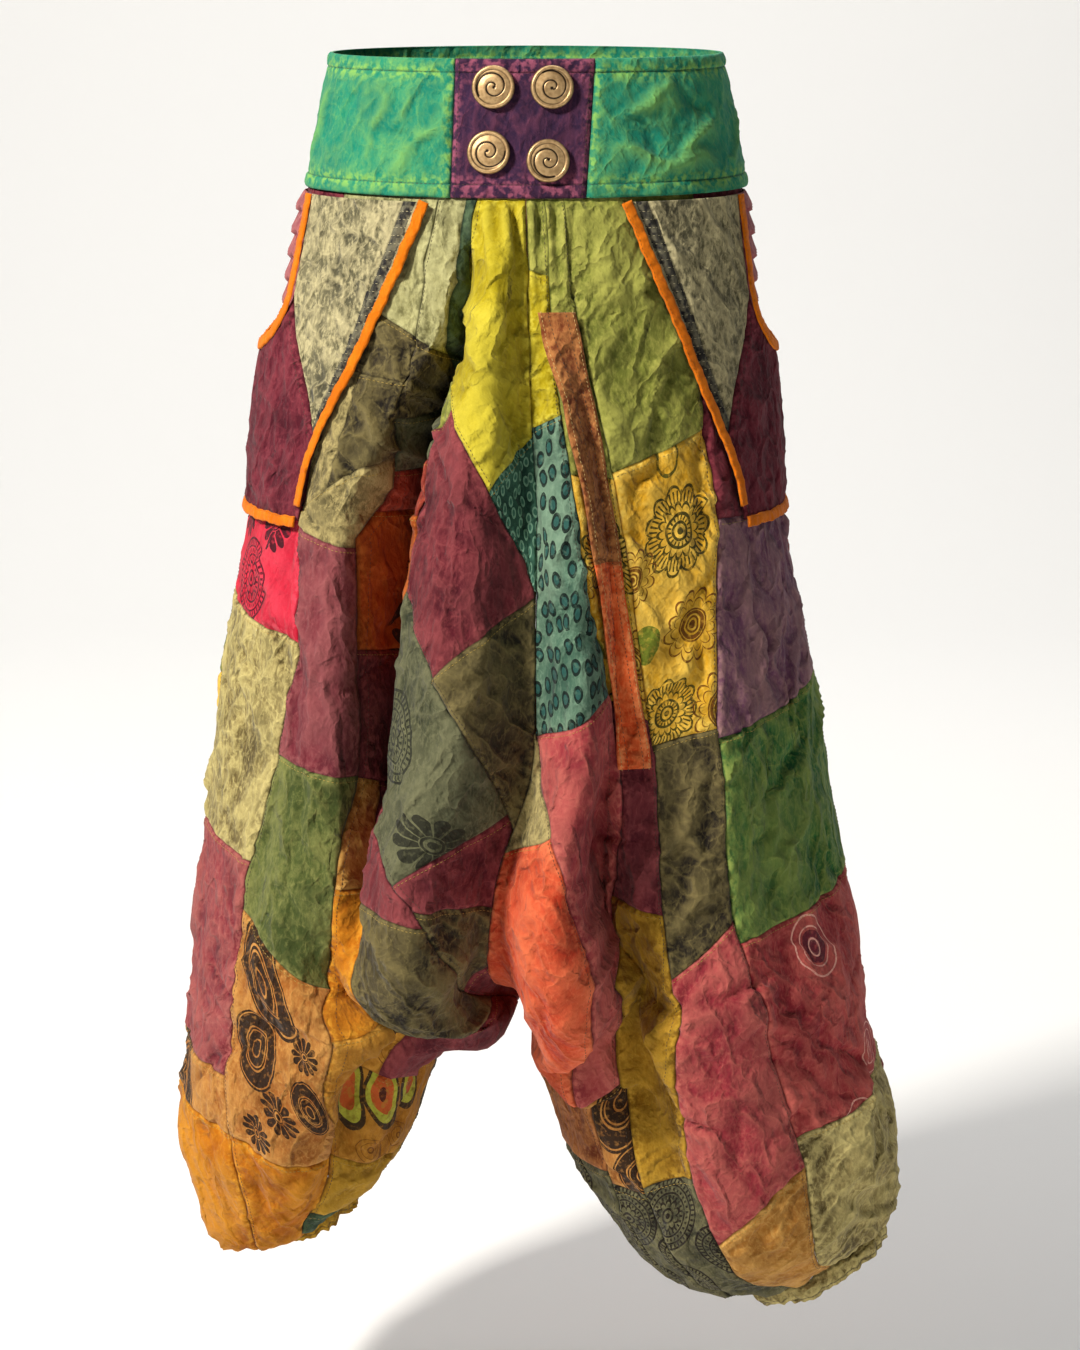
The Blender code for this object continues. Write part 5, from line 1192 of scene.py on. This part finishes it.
def pocket_relief(points, beside):
    """Crumpling of the pocket's cloth, stilled beside its sewn edges."""
    loose = crushed(points, 0.034, 1.7, 0.3, 12.1) + 0.45 * crushed(points, 0.015, 1.3, -0.4, 3.3) - 0.3
    return POCKET_CRUMPLE * loose * np.clip(beside / 0.012, 0.2, 1)


def pocket_panel(side, word, s, t, lift, seam, cloths, bands=None):
    """Sews a panel that stands off the leg; gives back the points of its outer face."""
    still = on_sheet(side, s, t, lift, worn=False)
    relief = pocket_relief(still, seam) + seam_profile(seam, still, 0.0006)
    outer = on_sheet(side, s, t, lift + POCKET_CLOTH + relief, worn=False)
    inner = on_sheet(side, s, t, lift + POCKET_CLOTH + np.minimum(relief, 0) - CLOTH_THICK, worn=False)
    cloth_piece(f"{side}_pocket_{word}_cloth", f"{side}_pocket_{word}", outer, inner, seam, relief,
                [0] * (len(outer) - 1) if bands is None else bands, cloths)
    return outer


def leaf(side, back):
    """A leaf-shaped facing beside the mouth; its felled seam shows as a dark band."""
    v, u = np.meshgrid(spaced(0.185, 0.0030), np.linspace(0, 1, 46), indexing="ij")
    t = POCKET_TOP + (LEAF_END - POCKET_TOP) * v
    front, rear = line_at(POCKET_FRONT, t), line_at(LEAF_EDGE, t) - 0.0006
    s = front + (rear - front) * u
    round_here = girth_at(side, t)
    from_front, from_rear = (s - front) * round_here, (rear - s) * round_here
    # a flat-felled seam runs inside the front edge, stitched twice
    seam = np.minimum(np.abs(np.abs(from_front - 0.0125) - 0.0045), from_rear)
    bands = (np.abs(from_front[:-1, :-1] - 0.0115) < 0.0050).astype(int)
    if back:
        s = 1 - s
    outer = pocket_panel(side, "back_leaf" if back else "front_leaf", s, t, pocket_lift(s, t), seam,
                         ["grey_acid_cotton", "felled_seam_cotton"], bands)
    for i in range(3, int(len(outer) * 0.86)):
        across = outer[i, np.flatnonzero((from_front[i] > 0.0065) & (from_front[i] < 0.0185))]
        if len(across) > 1 and i % 2:
            stitch_lines["bar"].append(across)


def bag(side):
    """The bag, below the mouth and between the two leaves."""
    v, u = np.meshgrid(spaced(0.150, 0.0036), spaced(0.36, 0.0036), indexing="ij")
    edge_t = np.interp(v, np.linspace(0, 1, 6), [MOUTH_TURN, 0.12, 0.16, LEAF_END, 0.23, POCKET_HEM])
    front = np.where(edge_t <= LEAF_END, line_at(LEAF_EDGE, edge_t), line_at(POCKET_FRONT, edge_t)) + 0.0006
    s = front + (1 - 2 * front) * u
    t = edge_t + (MOUTH_LOW - MOUTH_TURN) * (1 - v) * np.sin(math.pi * u)**0.7
    round_here = girth_at(side, t)
    seam = np.minimum(np.minimum(s - front, 1 - front - s) * round_here, np.minimum(v, 1 - v) * 0.15)
    outer = pocket_panel(side, "bag", s, t, pocket_lift(s, t), seam, ["maroon_cotton"])
    stitch_lines["dark"] += [outer[:, 3], outer[:, -4]]


def tuck_panel(side):
    """The panel seen in the mouth, with pin tucks across it."""
    first, last, end = TUCK_PANEL
    v, u = np.meshgrid(np.linspace(0, 1, 91), np.linspace(0, 1, 61), indexing="ij")
    s, t = first + (last - first) * u, POCKET_TOP + (end - POCKET_TOP) * v
    # each tuck folds down over the next one
    drop = t * LEG_LENGTH / TUCK_PITCH + 0.10 * np.sin(9 * math.pi * u)
    share = drop - np.floor(drop)
    folded = TUCK_DEPTH * share**1.4 * np.clip((1 - share) / 0.10, 0, 1)
    stand = TUCK_STAND * np.sin(math.pi * np.clip(v / 0.9, 0, 1))**0.6
    out = 0.0016 + (folded + stand) * np.clip((0.088 - np.abs(s - 0.5)) / 0.014, 0, 1)
    outer, inner = on_sheet(side, s, t, out, worn=False), on_sheet(side, s, t, out - 0.0009, worn=False)
    seam = np.minimum(np.abs(share - 0.22) * TUCK_PITCH + 0.0012, 0.02)
    cloth_piece(f"{side}_pocket_pin_tucks", f"{side}_pocket_tuck_panel", outer, inner,
                seam, folded, [0] * (len(outer) - 1), ["rose_tuck_cotton"])


for side in STRIPS:
    tuck_panel(side)
    bag(side)
    leaf(side, False)
    leaf(side, True)

# ==== Bindings ================================================================================
# Orange bias binding folded over the pocket's edges and stitched down beside its fold.
# Each is a rounded tape swept along its edge, rippled a little by the wash.
BINDING_WIDTH, BINDING_THICK = 0.0085, 0.0019


def smooth_line(points, step):
    """A smooth line through points, cut into even steps."""
    p = np.array(points, float)
    p = np.concatenate([[2 * p[0] - p[1]], p, [2 * p[-1] - p[-2]]])
    found = []
    for i in range(1, len(p) - 2):
        u = np.linspace(0, 1, 40, endpoint=False)[:, None]
        a, b, c, d = p[i - 1:i + 3]
        found.append(0.5 * (2 * b + (c - a) * u + (2 * a - 5 * b + 4 * c - d) * u**2
                            + (3 * b - a - 3 * c + d) * u**3))
    found = np.concatenate(found + [p[-2:-1]])
    length = run(found * [0.9, LEG_LENGTH])      # a half is about 0.9 m round
    even = np.linspace(0, length[-1], max(int(length[-1] / step), 4))
    return np.stack([np.interp(even, length, found[:, k]) for k in (0, 1)], axis=-1)


def over_pocket(s, t):
    """How far a binding lies off the leg."""
    return pocket_lift(s, t) + POCKET_CLOTH + 0.0014


def binding(side, word, line):
    """Sews a tape along a line of s, t places."""
    line = smooth_line(line, 0.0022)
    s, t = line[:, 0], line[:, 1]
    here = on_sheet(side, s, t, over_pocket(s, t), worn=False)
    normal = on_sheet(side, s, t, over_pocket(s, t) + 0.001, worn=False) - here
    normal /= np.linalg.norm(normal, axis=1, keepdims=True)
    across = np.cross(np.gradient(here, axis=0), normal)
    across /= np.linalg.norm(across, axis=1, keepdims=True)
    along_it = run(here)
    sway = 0.0004 * np.sin(along_it * 210) + 0.0003 * np.sin(along_it * 530 + 1)
    puff = 1 + 0.16 * np.sin(along_it * 820) * np.sin(along_it * 140 + 0.5)
    shares = np.array([-1, -0.93, -0.78, -0.5, 0, 0.5, 0.78, 0.93, 1])
    groove = 1 - 0.30 * np.exp(-((np.abs(shares) - 0.62) / 0.10)**2)
    height = BINDING_THICK * (1 - np.abs(shares)**5)**0.5 * groove
    offset = here[:, None] + across[:, None] * (shares[:, None] * BINDING_WIDTH / 2 + sway[:, None, None])
    outer = offset + normal[:, None] * (0.0002 + height * puff[:, None])[..., None]
    seam, crest = np.full(outer.shape[:2], 0.02), np.zeros(outer.shape[:2])
    stitch_lines["orange"].append(outer[:, 6])
    cloth_piece(f"{side}_pocket_{word}_tape", f"{side}_pocket_{word}", outer, offset,
                seam, crest, [0] * (len(outer) - 1), ["orange_binding_cotton"])


MOUTH_FRONT = [(0.410, POCKET_TOP), (0.410, 0.045), (0.411, 0.085), (0.424, 0.108), (0.455, 0.128)]
MOUTH = MOUTH_FRONT + [(0.5, MOUTH_LOW)] + [(1 - s, t) for s, t in reversed(MOUTH_FRONT)]
FRONT_EDGE = [(float(line_at(POCKET_FRONT, t)), t) for t in (POCKET_TOP, 0.05, 0.10, 0.14, 0.18, 0.22, 0.25)]
for side in STRIPS:
    binding(side, "front_binding", FRONT_EDGE)
    binding(side, "back_binding", [(1 - s, t) for s, t in FRONT_EDGE])
    binding(side, "mouth_binding", MOUTH)
    binding(side, "hem_binding", [(0.318 + 0.364 * k / 10, POCKET_HEM + 0.0015) for k in range(11)])

# ==== Strap ===================================================================================
# A doubled strap of two cloths stitched down over the left front seam, with a squared free end.
# A shell on the leg, puckered across its stitching.
STRAP_TOP, STRAP_JOIN, STRAP_END = 0.088, 0.285, 0.462
STRAP_HEIGHT = 0.0056
strap_rows = spaced((STRAP_END - STRAP_TOP) * LEG_LENGTH, 0.0030)
v, u = np.meshgrid(strap_rows, spaced(0.030, 0.0025, (0.0, 0.0008, 0.0025)), indexing="ij")
t = STRAP_TOP + (STRAP_END - STRAP_TOP) * v
middle = line_at(STRAP, t)
width = np.interp(t, [row[0] for row in STRAP], [row[2] for row in STRAP]) + 0.0012 * np.sin(t * 75)
s = middle + (u - 0.5) * width / girth_at("left", t)
beside = np.minimum(u, 1 - u) * width
from_join = np.abs(t - STRAP_JOIN - 0.006 * (u - 0.5)) * LEG_LENGTH
still = on_sheet("left", s, t, STRAP_HEIGHT, worn=False)
seam = np.minimum(from_join, np.minimum(np.abs(beside - 0.0028), 0.02) + 0.0006)
relief = 0.0010 * crumpled(still, 0.014, 0.5, 5.5) * np.clip(beside / 0.006, 0, 1)
relief += 0.0007 * crumpled(still, 0.009, 0.8, 2.2) - 0.0010 * (1 - np.clip(beside / 0.0012, 0, 1))
relief += seam_profile(from_join, still, 0.0006)
outer = on_sheet("left", s, t, STRAP_HEIGHT + relief, worn=False)
inner = on_sheet("left", s, t, STRAP_HEIGHT - 0.0019, worn=False)
strap_bands = [0 if (t[i, 0] + t[i + 1, 0]) / 2 < STRAP_JOIN else 1 for i in range(len(t) - 1)]
cloth_piece("front_strap_sewn", "front_strap", outer, inner, seam, relief, strap_bands,
            ["brown_strap_cotton", "coral_strap_cotton"])
stitch_lines["pale"] += [outer[:, 2], outer[:, -3]]
stitch_lines["dark"] += [outer[:, 4], outer[:, -5]]

# ==== Waistband ===============================================================================
# A wide doubled band, hemmed top and bottom, with a dark panel in front that holds the buttons.
# Four shells round the band's own oval; long creases run from the panel and round the sides.
WAIST_HALF_WIDTH, WAIST_HALF_DEPTH, BAND_HEIGHT = 0.150, 0.102, 0.1005
BAND_THICK, BAND_HALF_ROUND = 0.0024, 0.42
HEM_WIDTH, HEM_RISE = 0.0100, 0.0008
BAND_CRUMPLE, BAND_CREASE_GAIN = 0.0008, 1.4
ROPING, ROPING_PITCH = 0.00055, 0.0085   # slanting ridges of a hem pulled by its stitches
BAND_LEVELS = [
    Level(0.00, 0.000, 0.000, 0.000, WAIST_HALF_DEPTH, 90, 0.000, WAIST_HALF_WIDTH, 0.000),
    Level(0.50, -BAND_HEIGHT / 2, -BAND_HEIGHT / 2, 0.000, 0.1100, 90, 0.000, 0.1595, 0.000),
    Level(1.00, -BAND_HEIGHT, -BAND_HEIGHT, 0.000, 0.1190, 90, 0.000, 0.1705, 0.000),
]
BAND = plain_sheet(BAND_LEVELS, np.linspace(0, 1, 401), np.linspace(0, 1, 41), shared_seams=False)
BandPiece = namedtuple("BandPiece", "name first last cloth slot")
# each edge is where it starts at the top and ends at the bottom: 0 in front, 1 behind by way of
# the left side, -1 behind by way of the right side
BAND_PIECES = [
    BandPiece("band_front_centre", (-0.132, -0.124), (0.130, 0.098), "purple_cotton", "purple_cotton"),
    BandPiece("band_front_left", (0.130, 0.098), (0.520, 0.520), "teal_green_cotton", "green_cotton"),
    BandPiece("band_front_right", (-0.520, -0.520), (-0.132, -0.124), "teal_green_cotton", "green_cotton"),
    BandPiece("band_back", (0.520, 0.520), (1.480, 1.480), "teal_green_cotton", "green_cotton"),
]
# creases of the band: from and to, as place round and drop below the top, half width and rise
BAND_CREASES = [
    (0.14, 0.050, 0.30, 0.018, 0.0050, 0.0022), (0.13, 0.062, 0.36, 0.078, 0.0050, 0.0020),
    (0.15, 0.034, 0.26, 0.070, 0.0045, -0.0018), (0.22, 0.084, 0.40, 0.040, 0.0060, 0.0020),
    (0.28, 0.016, 0.38, 0.052, 0.0045, -0.0018), (0.40, 0.080, 0.50, 0.030, 0.0060, 0.0016),
    (-0.14, 0.044, -0.24, 0.088, 0.0050, 0.0018), (-0.16, 0.070, -0.30, 0.052, 0.0050, -0.0016),
    (-0.26, 0.014, -0.30, 0.086, 0.0045, 0.0022), (-0.33, 0.018, -0.36, 0.080, 0.0050, -0.0016),
    (-0.20, 0.018, -0.25, 0.058, 0.0045, 0.0014), (-0.42, 0.020, -0.46, 0.084, 0.0060, 0.0018),
    (-0.08, 0.030, -0.02, 0.050, 0.0050, 0.0012), (0.03, 0.080, 0.08, 0.046, 0.0050, -0.0012),
    (0.62, 0.016, 0.58, 0.088, 0.0060, 0.0024), (0.71, 0.020, 0.73, 0.084, 0.0060, -0.0022),
    (0.80, 0.014, 0.78, 0.086, 0.0060, 0.0024), (0.90, 0.018, 0.93, 0.080, 0.0070, -0.0022),
    (1.02, 0.014, 0.99, 0.088, 0.0060, 0.0022), (1.12, 0.016, 1.14, 0.084, 0.0060, -0.0020),
    (1.24, 0.014, 1.21, 0.086, 0.0060, 0.0024), (1.36, 0.020, 1.38, 0.082, 0.0070, 0.0020),
]


def on_band(place, t, out=0.0):
    """Points of the band's outer face; place runs from 0 in front by the left side to 2."""
    place = np.mod(place, 2)
    here = read_grid(BAND, 1 - np.abs(1 - place), t)
    facing = here * np.array([1 / WAIST_HALF_WIDTH**2, 1 / WAIST_HALF_DEPTH**2, 0.0])
    here = here + facing / np.linalg.norm(facing, axis=-1, keepdims=True) * np.asarray(out)[..., None]
    here[..., 0] *= np.where(place < 1, 1, -1)
    return here


def band_piece(part):
    """Sews one length of the waistband, with a hem along both edges."""
    width = (part.last[0] - part.first[0]) * BAND_HALF_ROUND
    hem_rows = [0.0, 0.0008, 0.0022, 0.0042, 0.0062, 0.0080, 0.0092, 0.0098, 0.0104, 0.0118]
    middle_rows = np.linspace(0.0145, BAND_HEIGHT - 0.0145, 27)
    drops = np.concatenate([hem_rows, middle_rows, BAND_HEIGHT - np.array(hem_rows)[::-1]])
    drop, u = np.meshgrid(drops, spaced(width, 0.0030), indexing="ij")
    t = drop / BAND_HEIGHT
    gap = 0.00015 / BAND_HALF_ROUND
    first = part.first[0] + (part.first[1] - part.first[0]) * t + gap
    last = part.last[0] + (part.last[1] - part.last[0]) * t - gap
    place = first + (last - first) * u
    round_it = place * BAND_HALF_ROUND
    still = on_band(place, t)
    from_edge = np.minimum(drop, BAND_HEIGHT - drop)
    from_side = np.minimum(u, 1 - u) * width
    hem = (from_edge < HEM_WIDTH - 0.0004) * 1.0
    groove = np.exp(-((from_edge - HEM_WIDTH) / 0.0006)**2)
    swell = np.clip(1 - ((from_edge - HEM_WIDTH / 2) / (HEM_WIDTH / 2))**2, 0, 1)
    slant = np.where(drop < BAND_HEIGHT / 2, drop, -drop)
    roping = ROPING * np.sin(2 * math.pi * (round_it + 0.55 * slant) / ROPING_PITCH
                             + 2.0 * np.sin(round_it * 61)) * swell
    relief = HEM_RISE * hem * (0.5 + 0.5 * swell) - 0.0007 * groove + roping
    relief -= 0.0009 * (1 - np.clip(from_edge / 0.0012, 0, 1))
    loose = np.clip((from_edge - HEM_WIDTH) / 0.008, 0, 1) * np.clip(from_side / 0.006, 0.2, 1)
    wear = BAND_CRUMPLE * (1.3 * crushed(still, 0.034, 1.2, 0.6, 8.8)
                           + 0.6 * crushed(still, 0.016, 0.9, -0.5, 6.1))
    for start, start_drop, end, end_drop, half, rise in BAND_CREASES:
        wear += BAND_CREASE_GAIN * ridge(round_it, drop, (start * BAND_HALF_ROUND, start_drop),
                                         (end * BAND_HALF_ROUND, end_drop), half, rise)
    if part.name == "band_front_centre":
        wear *= 0.45           # the buttons hold the panel flat
    relief += wear * loose + seam_profile(from_side, still, 0.0005)
    outer = on_band(place, t, relief)
    inner = on_band(place, t, np.minimum(relief, 0) - BAND_THICK)
    seam = np.minimum(from_side, np.abs(from_edge - HEM_WIDTH) + 0.0002)
    if part.name == "band_front_centre":
        seam = np.minimum(seam, from_edge * 0.6 + 0.0006)
    cloth_piece(f"{part.name}_cloth", part.name, outer, inner, seam, wear * loose,
                [0] * (len(drops) - 1), [part.cloth])
    stitch_lines["dark"] += [outer[7], outer[-8]]
    if part.name == "band_front_centre":
        stitch_lines["dark"] += [outer[:, 2], outer[:, -3]]


for part in BAND_PIECES:
    band_piece(part)

# ==== Buttons =================================================================================
# Four cast metal buttons in an aged brass colour, sewn on as trimming: a rim and a cut spiral.
# Each is a turned disc with the spiral groove sunk in its face, set square to the band.
BUTTON_RADIUS, BUTTON_THICK = 0.0160, 0.0050
BUTTON_RINGS, BUTTON_STEPS = 48, 96
BUTTON_STAND = 0.0011          # off the band's plain oval
SPIRAL_TURNS, SPIRAL_START, SPIRAL_END = 1.65, 0.06, 0.78     # its ends as shares of the radius
SPIRAL_DEEP, SPIRAL_HALF, HOOK_SIZE = 0.00055, 0.038, 0.075   # depth in metres, breadths as shares
BUTTON_PROFILE = [(0.00, 1.00), (0.45, 0.93), (0.72, 0.76), (0.79, 0.72), (0.83, 0.88), (0.92, 0.88),
                  (0.97, 0.74), (1.00, 0.50), (0.985, 0.20), (0.93, 0.00), (0.00, 0.00)]
BUTTONS = {"upper_right": (-0.0235, 0.0205, 0.3), "upper_left": (0.0190, 0.0205, 1.9),
           "lower_right": (-0.0270, 0.0675, 4.0), "lower_left": (0.0160, 0.0735, 5.2)}


def aged_brass():
    """Cast brass, worn to roughness 0.42 and partly tarnished; dark patina left in the grooves."""
    material, tree, shader = surface("aged_brass", {"Metallic": 0.7, "Roughness": 0.42})
    groove = add(tree, "ShaderNodeAttribute", out=2, attribute_name="groove")
    place = add(tree, "ShaderNodeTexCoord", out=3)
    cloud = add(tree, "ShaderNodeTexNoise", {"Vector": place, "Scale": 320, "Detail": 5})
    worn = ramp(tree, cloud, 0.40, 0.64, 0.0, 0.55)
    colour = mix(tree, worn, srgb("#d9b582"), srgb("#9c7446"))
    colour = mix(tree, groove, colour, srgb("#20140d"))
    tree.links.new(colour, shader.inputs["Base Color"])
    return material


BRASS = aged_brass()


def button(word, x, drop, turn):
    """Turns one button, cuts its spiral and sets it square to the band."""
    shares = np.array([p[0] for p in BUTTON_PROFILE])
    heights = np.array([p[1] for p in BUTTON_PROFILE]) * BUTTON_THICK
    face = np.linspace(0.0, 1.0, BUTTON_RINGS)[1:]
    radii = np.concatenate([face, [0.985, 0.93, 0.5]])
    top = np.interp(face, shares[:8], heights[:8])
    tops = np.concatenate([top, [heights[8], heights[9], 0.0]])
    angles = np.arange(BUTTON_STEPS) / BUTTON_STEPS * 2 * math.pi
    r, a = np.meshgrid(radii, angles, indexing="ij")
    h = np.repeat(tops[:, None], BUTTON_STEPS, axis=1)
    pitch = (SPIRAL_END - SPIRAL_START) / SPIRAL_TURNS
    nearest = np.full(r.shape, 9.0)
    for lap in range(4):
        share = (np.mod(a + turn, 2 * math.pi)) / (2 * math.pi) + lap
        arm = SPIRAL_START + pitch * share
        nearest = np.minimum(nearest, np.where(share <= SPIRAL_TURNS, np.abs(r - arm), 9.0))
    hook = np.hypot(r * np.cos(a + turn) - SPIRAL_START, r * np.sin(a + turn)) / HOOK_SIZE
    spiral = np.maximum(np.exp(-(nearest / SPIRAL_HALF)**2), np.exp(-hook**4))
    spiral *= (np.arange(len(radii)) < len(face))[:, None]
    rim = np.exp(-((r - 0.79) / 0.030)**2) + np.exp(-((r - 1.0) / 0.03)**2)
    groove = np.clip(1.5 * spiral + 0.7 * rim, 0, 1)
    h = h - SPIRAL_DEEP * spiral
    across, up = r * BUTTON_RADIUS * np.cos(a), r * BUTTON_RADIUS * np.sin(a)
    points = np.stack([across, up, h], axis=-1).reshape(-1, 3)
    points = np.concatenate([points, [[0, 0, BUTTON_THICK], [0, 0, 0]]])
    count = len(radii)
    number = np.arange(count * BUTTON_STEPS).reshape(count, BUTTON_STEPS)
    beyond = np.roll(number, -1, axis=1)
    faces = np.stack([number[:-1], number[1:], beyond[1:], beyond[:-1]], axis=-1).reshape(-1, 4).tolist()
    faces += [(len(points) - 2, number[0, k], beyond[0, k]) for k in range(BUTTON_STEPS)]
    faces += [(len(points) - 1, beyond[-1, k], number[-1, k]) for k in range(BUTTON_STEPS)]
    place = math.copysign(1, x) * next(k / 2000 for k in range(2000) if on_band(
        np.array(k / 2000), np.array(drop / BAND_HEIGHT))[0] >= abs(x))
    ends = [on_band(np.array(place + dp), np.array(drop / BAND_HEIGHT + dt))
            for dp, dt in ((0, 0), (-0.02, 0), (0.02, 0), (0, -0.1), (0, 0.1))]
    facing = Vector(np.cross(ends[2] - ends[1], ends[4] - ends[3])).normalized()
    facing *= math.copysign(1, -facing.y)
    square = facing.to_track_quat("Z", "Y").to_matrix().to_4x4()
    pose = Matrix.Translation(Vector(ends[0]) + facing * BUTTON_STAND) @ square
    mesh = bpy.data.meshes.new(f"spiral_button_{word}")
    mesh.from_pydata(points.tolist(), [], faces)
    mesh.transform(pose)
    mesh.materials.append(BRASS)
    mesh.polygons.foreach_set("use_smooth", np.ones(len(faces), bool))
    tag(mesh, "groove", np.concatenate([groove.ravel(), [0.6, 0]]))
    piece = put(f"spiral_button_{word}", mesh)
    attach(piece, "root")
    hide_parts(f"button_{word}")


for word, (x, drop, turn) in BUTTONS.items():
    button(word, x, drop, turn)

# ==== Stitching ===============================================================================
# Lockstitch in polyester thread beside every seam, along the hems, the strap and the bindings.
# Each line of the cloth carries evenly spaced grains of thread, laid by a node tree.
STITCH_LENGTH, THREAD_RADIUS = 0.0033, 0.00030
THREADS = {"dark": ("#3a2c1e", "patchwork_cotton"), "ochre": ("#a58a3c", "patchwork_cotton"),
           "pale": ("#c9a96a", "strap_cotton"), "bar": ("#b9ae86", "washed_cotton"),
           "orange": ("#a85c06", "orange_binding")}


def stitch_tree():
    """A node tree that lays a grain of thread at every stitch of a line."""
    tree = bpy.data.node_groups.new("stitching", "GeometryNodeTree")
    socket = tree.interface.new_socket
    socket("Lines", in_out="INPUT", socket_type="NodeSocketGeometry")
    ids = [socket(name, in_out="INPUT", socket_type=kind).identifier for name, kind in (
        ("Stitch length", "NodeSocketFloat"), ("Thread radius", "NodeSocketFloat"),
        ("Thread", "NodeSocketMaterial"))]
    socket("Stitches", in_out="OUTPUT", socket_type="NodeSocketGeometry")
    given = tree.nodes.new("NodeGroupInput").outputs
    line = add(tree, "GeometryNodeMeshToCurve", {"Mesh": given["Lines"]})
    line = add(tree, "GeometryNodeResampleCurve", {"Curve": line, "Length": given["Stitch length"]},
               mode="LENGTH")
    way = add(tree, "FunctionNodeAlignRotationToVector", {"Vector": add(tree, "GeometryNodeInputTangent")},
              axis="Z")
    half = maths(tree, "MULTIPLY", given["Stitch length"], 0.36)
    size = add(tree, "ShaderNodeCombineXYZ", {0: given["Thread radius"], 1: given["Thread radius"], 2: half})
    grain = add(tree, "GeometryNodeMeshUVSphere", {"Segments": 4, "Rings": 3, "Radius": 1.0})
    laid = add(tree, "GeometryNodeInstanceOnPoints", {"Points": line, "Instance": grain, "Rotation": way,
                                                      "Scale": size})
    laid = add(tree, "GeometryNodeRealizeInstances", {"Geometry": laid})
    laid = add(tree, "GeometryNodeSetShadeSmooth", {"Geometry": laid})
    laid = add(tree, "GeometryNodeSetMaterial", {"Geometry": laid, "Material": given["Thread"]})
    add(tree, "NodeGroupOutput", {0: laid}, out=slice(0, 0))
    return tree, ids


STITCHING, STITCH_IDS = stitch_tree()


def stitches(name, lines, hex_colour):
    """One object for all the stitches in one colour of thread."""
    thread = surface(f"{name}_polyester_thread", {"Base Color": srgb(hex_colour), "Roughness": 0.6})[0]
    points, edges = [], []
    for line in lines:
        start = sum(len(p) for p in points)
        edges += [(start + k, start + k + 1) for k in range(len(line) - 1)]
        points.append(line)
    mesh = bpy.data.meshes.new(f"{name}_lines")
    mesh.from_pydata(np.concatenate(points).tolist(), edges, [])
    guide = put(f"{name}_lines", mesh)
    modifier = guide.modifiers.new("stitching", "NODES")
    modifier.node_group = STITCHING
    for key, value in zip(STITCH_IDS, (STITCH_LENGTH, THREAD_RADIUS, thread)):
        modifier[key] = value
    made = bpy.data.meshes.new_from_object(guide.evaluated_get(bpy.context.evaluated_depsgraph_get()))
    bpy.data.objects.remove(guide)
    piece = put(f"{name}_stitches", made)
    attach(piece, "root")


for name, (hex_colour, slot) in THREADS.items():
    stitches(name, stitch_lines[name], hex_colour)
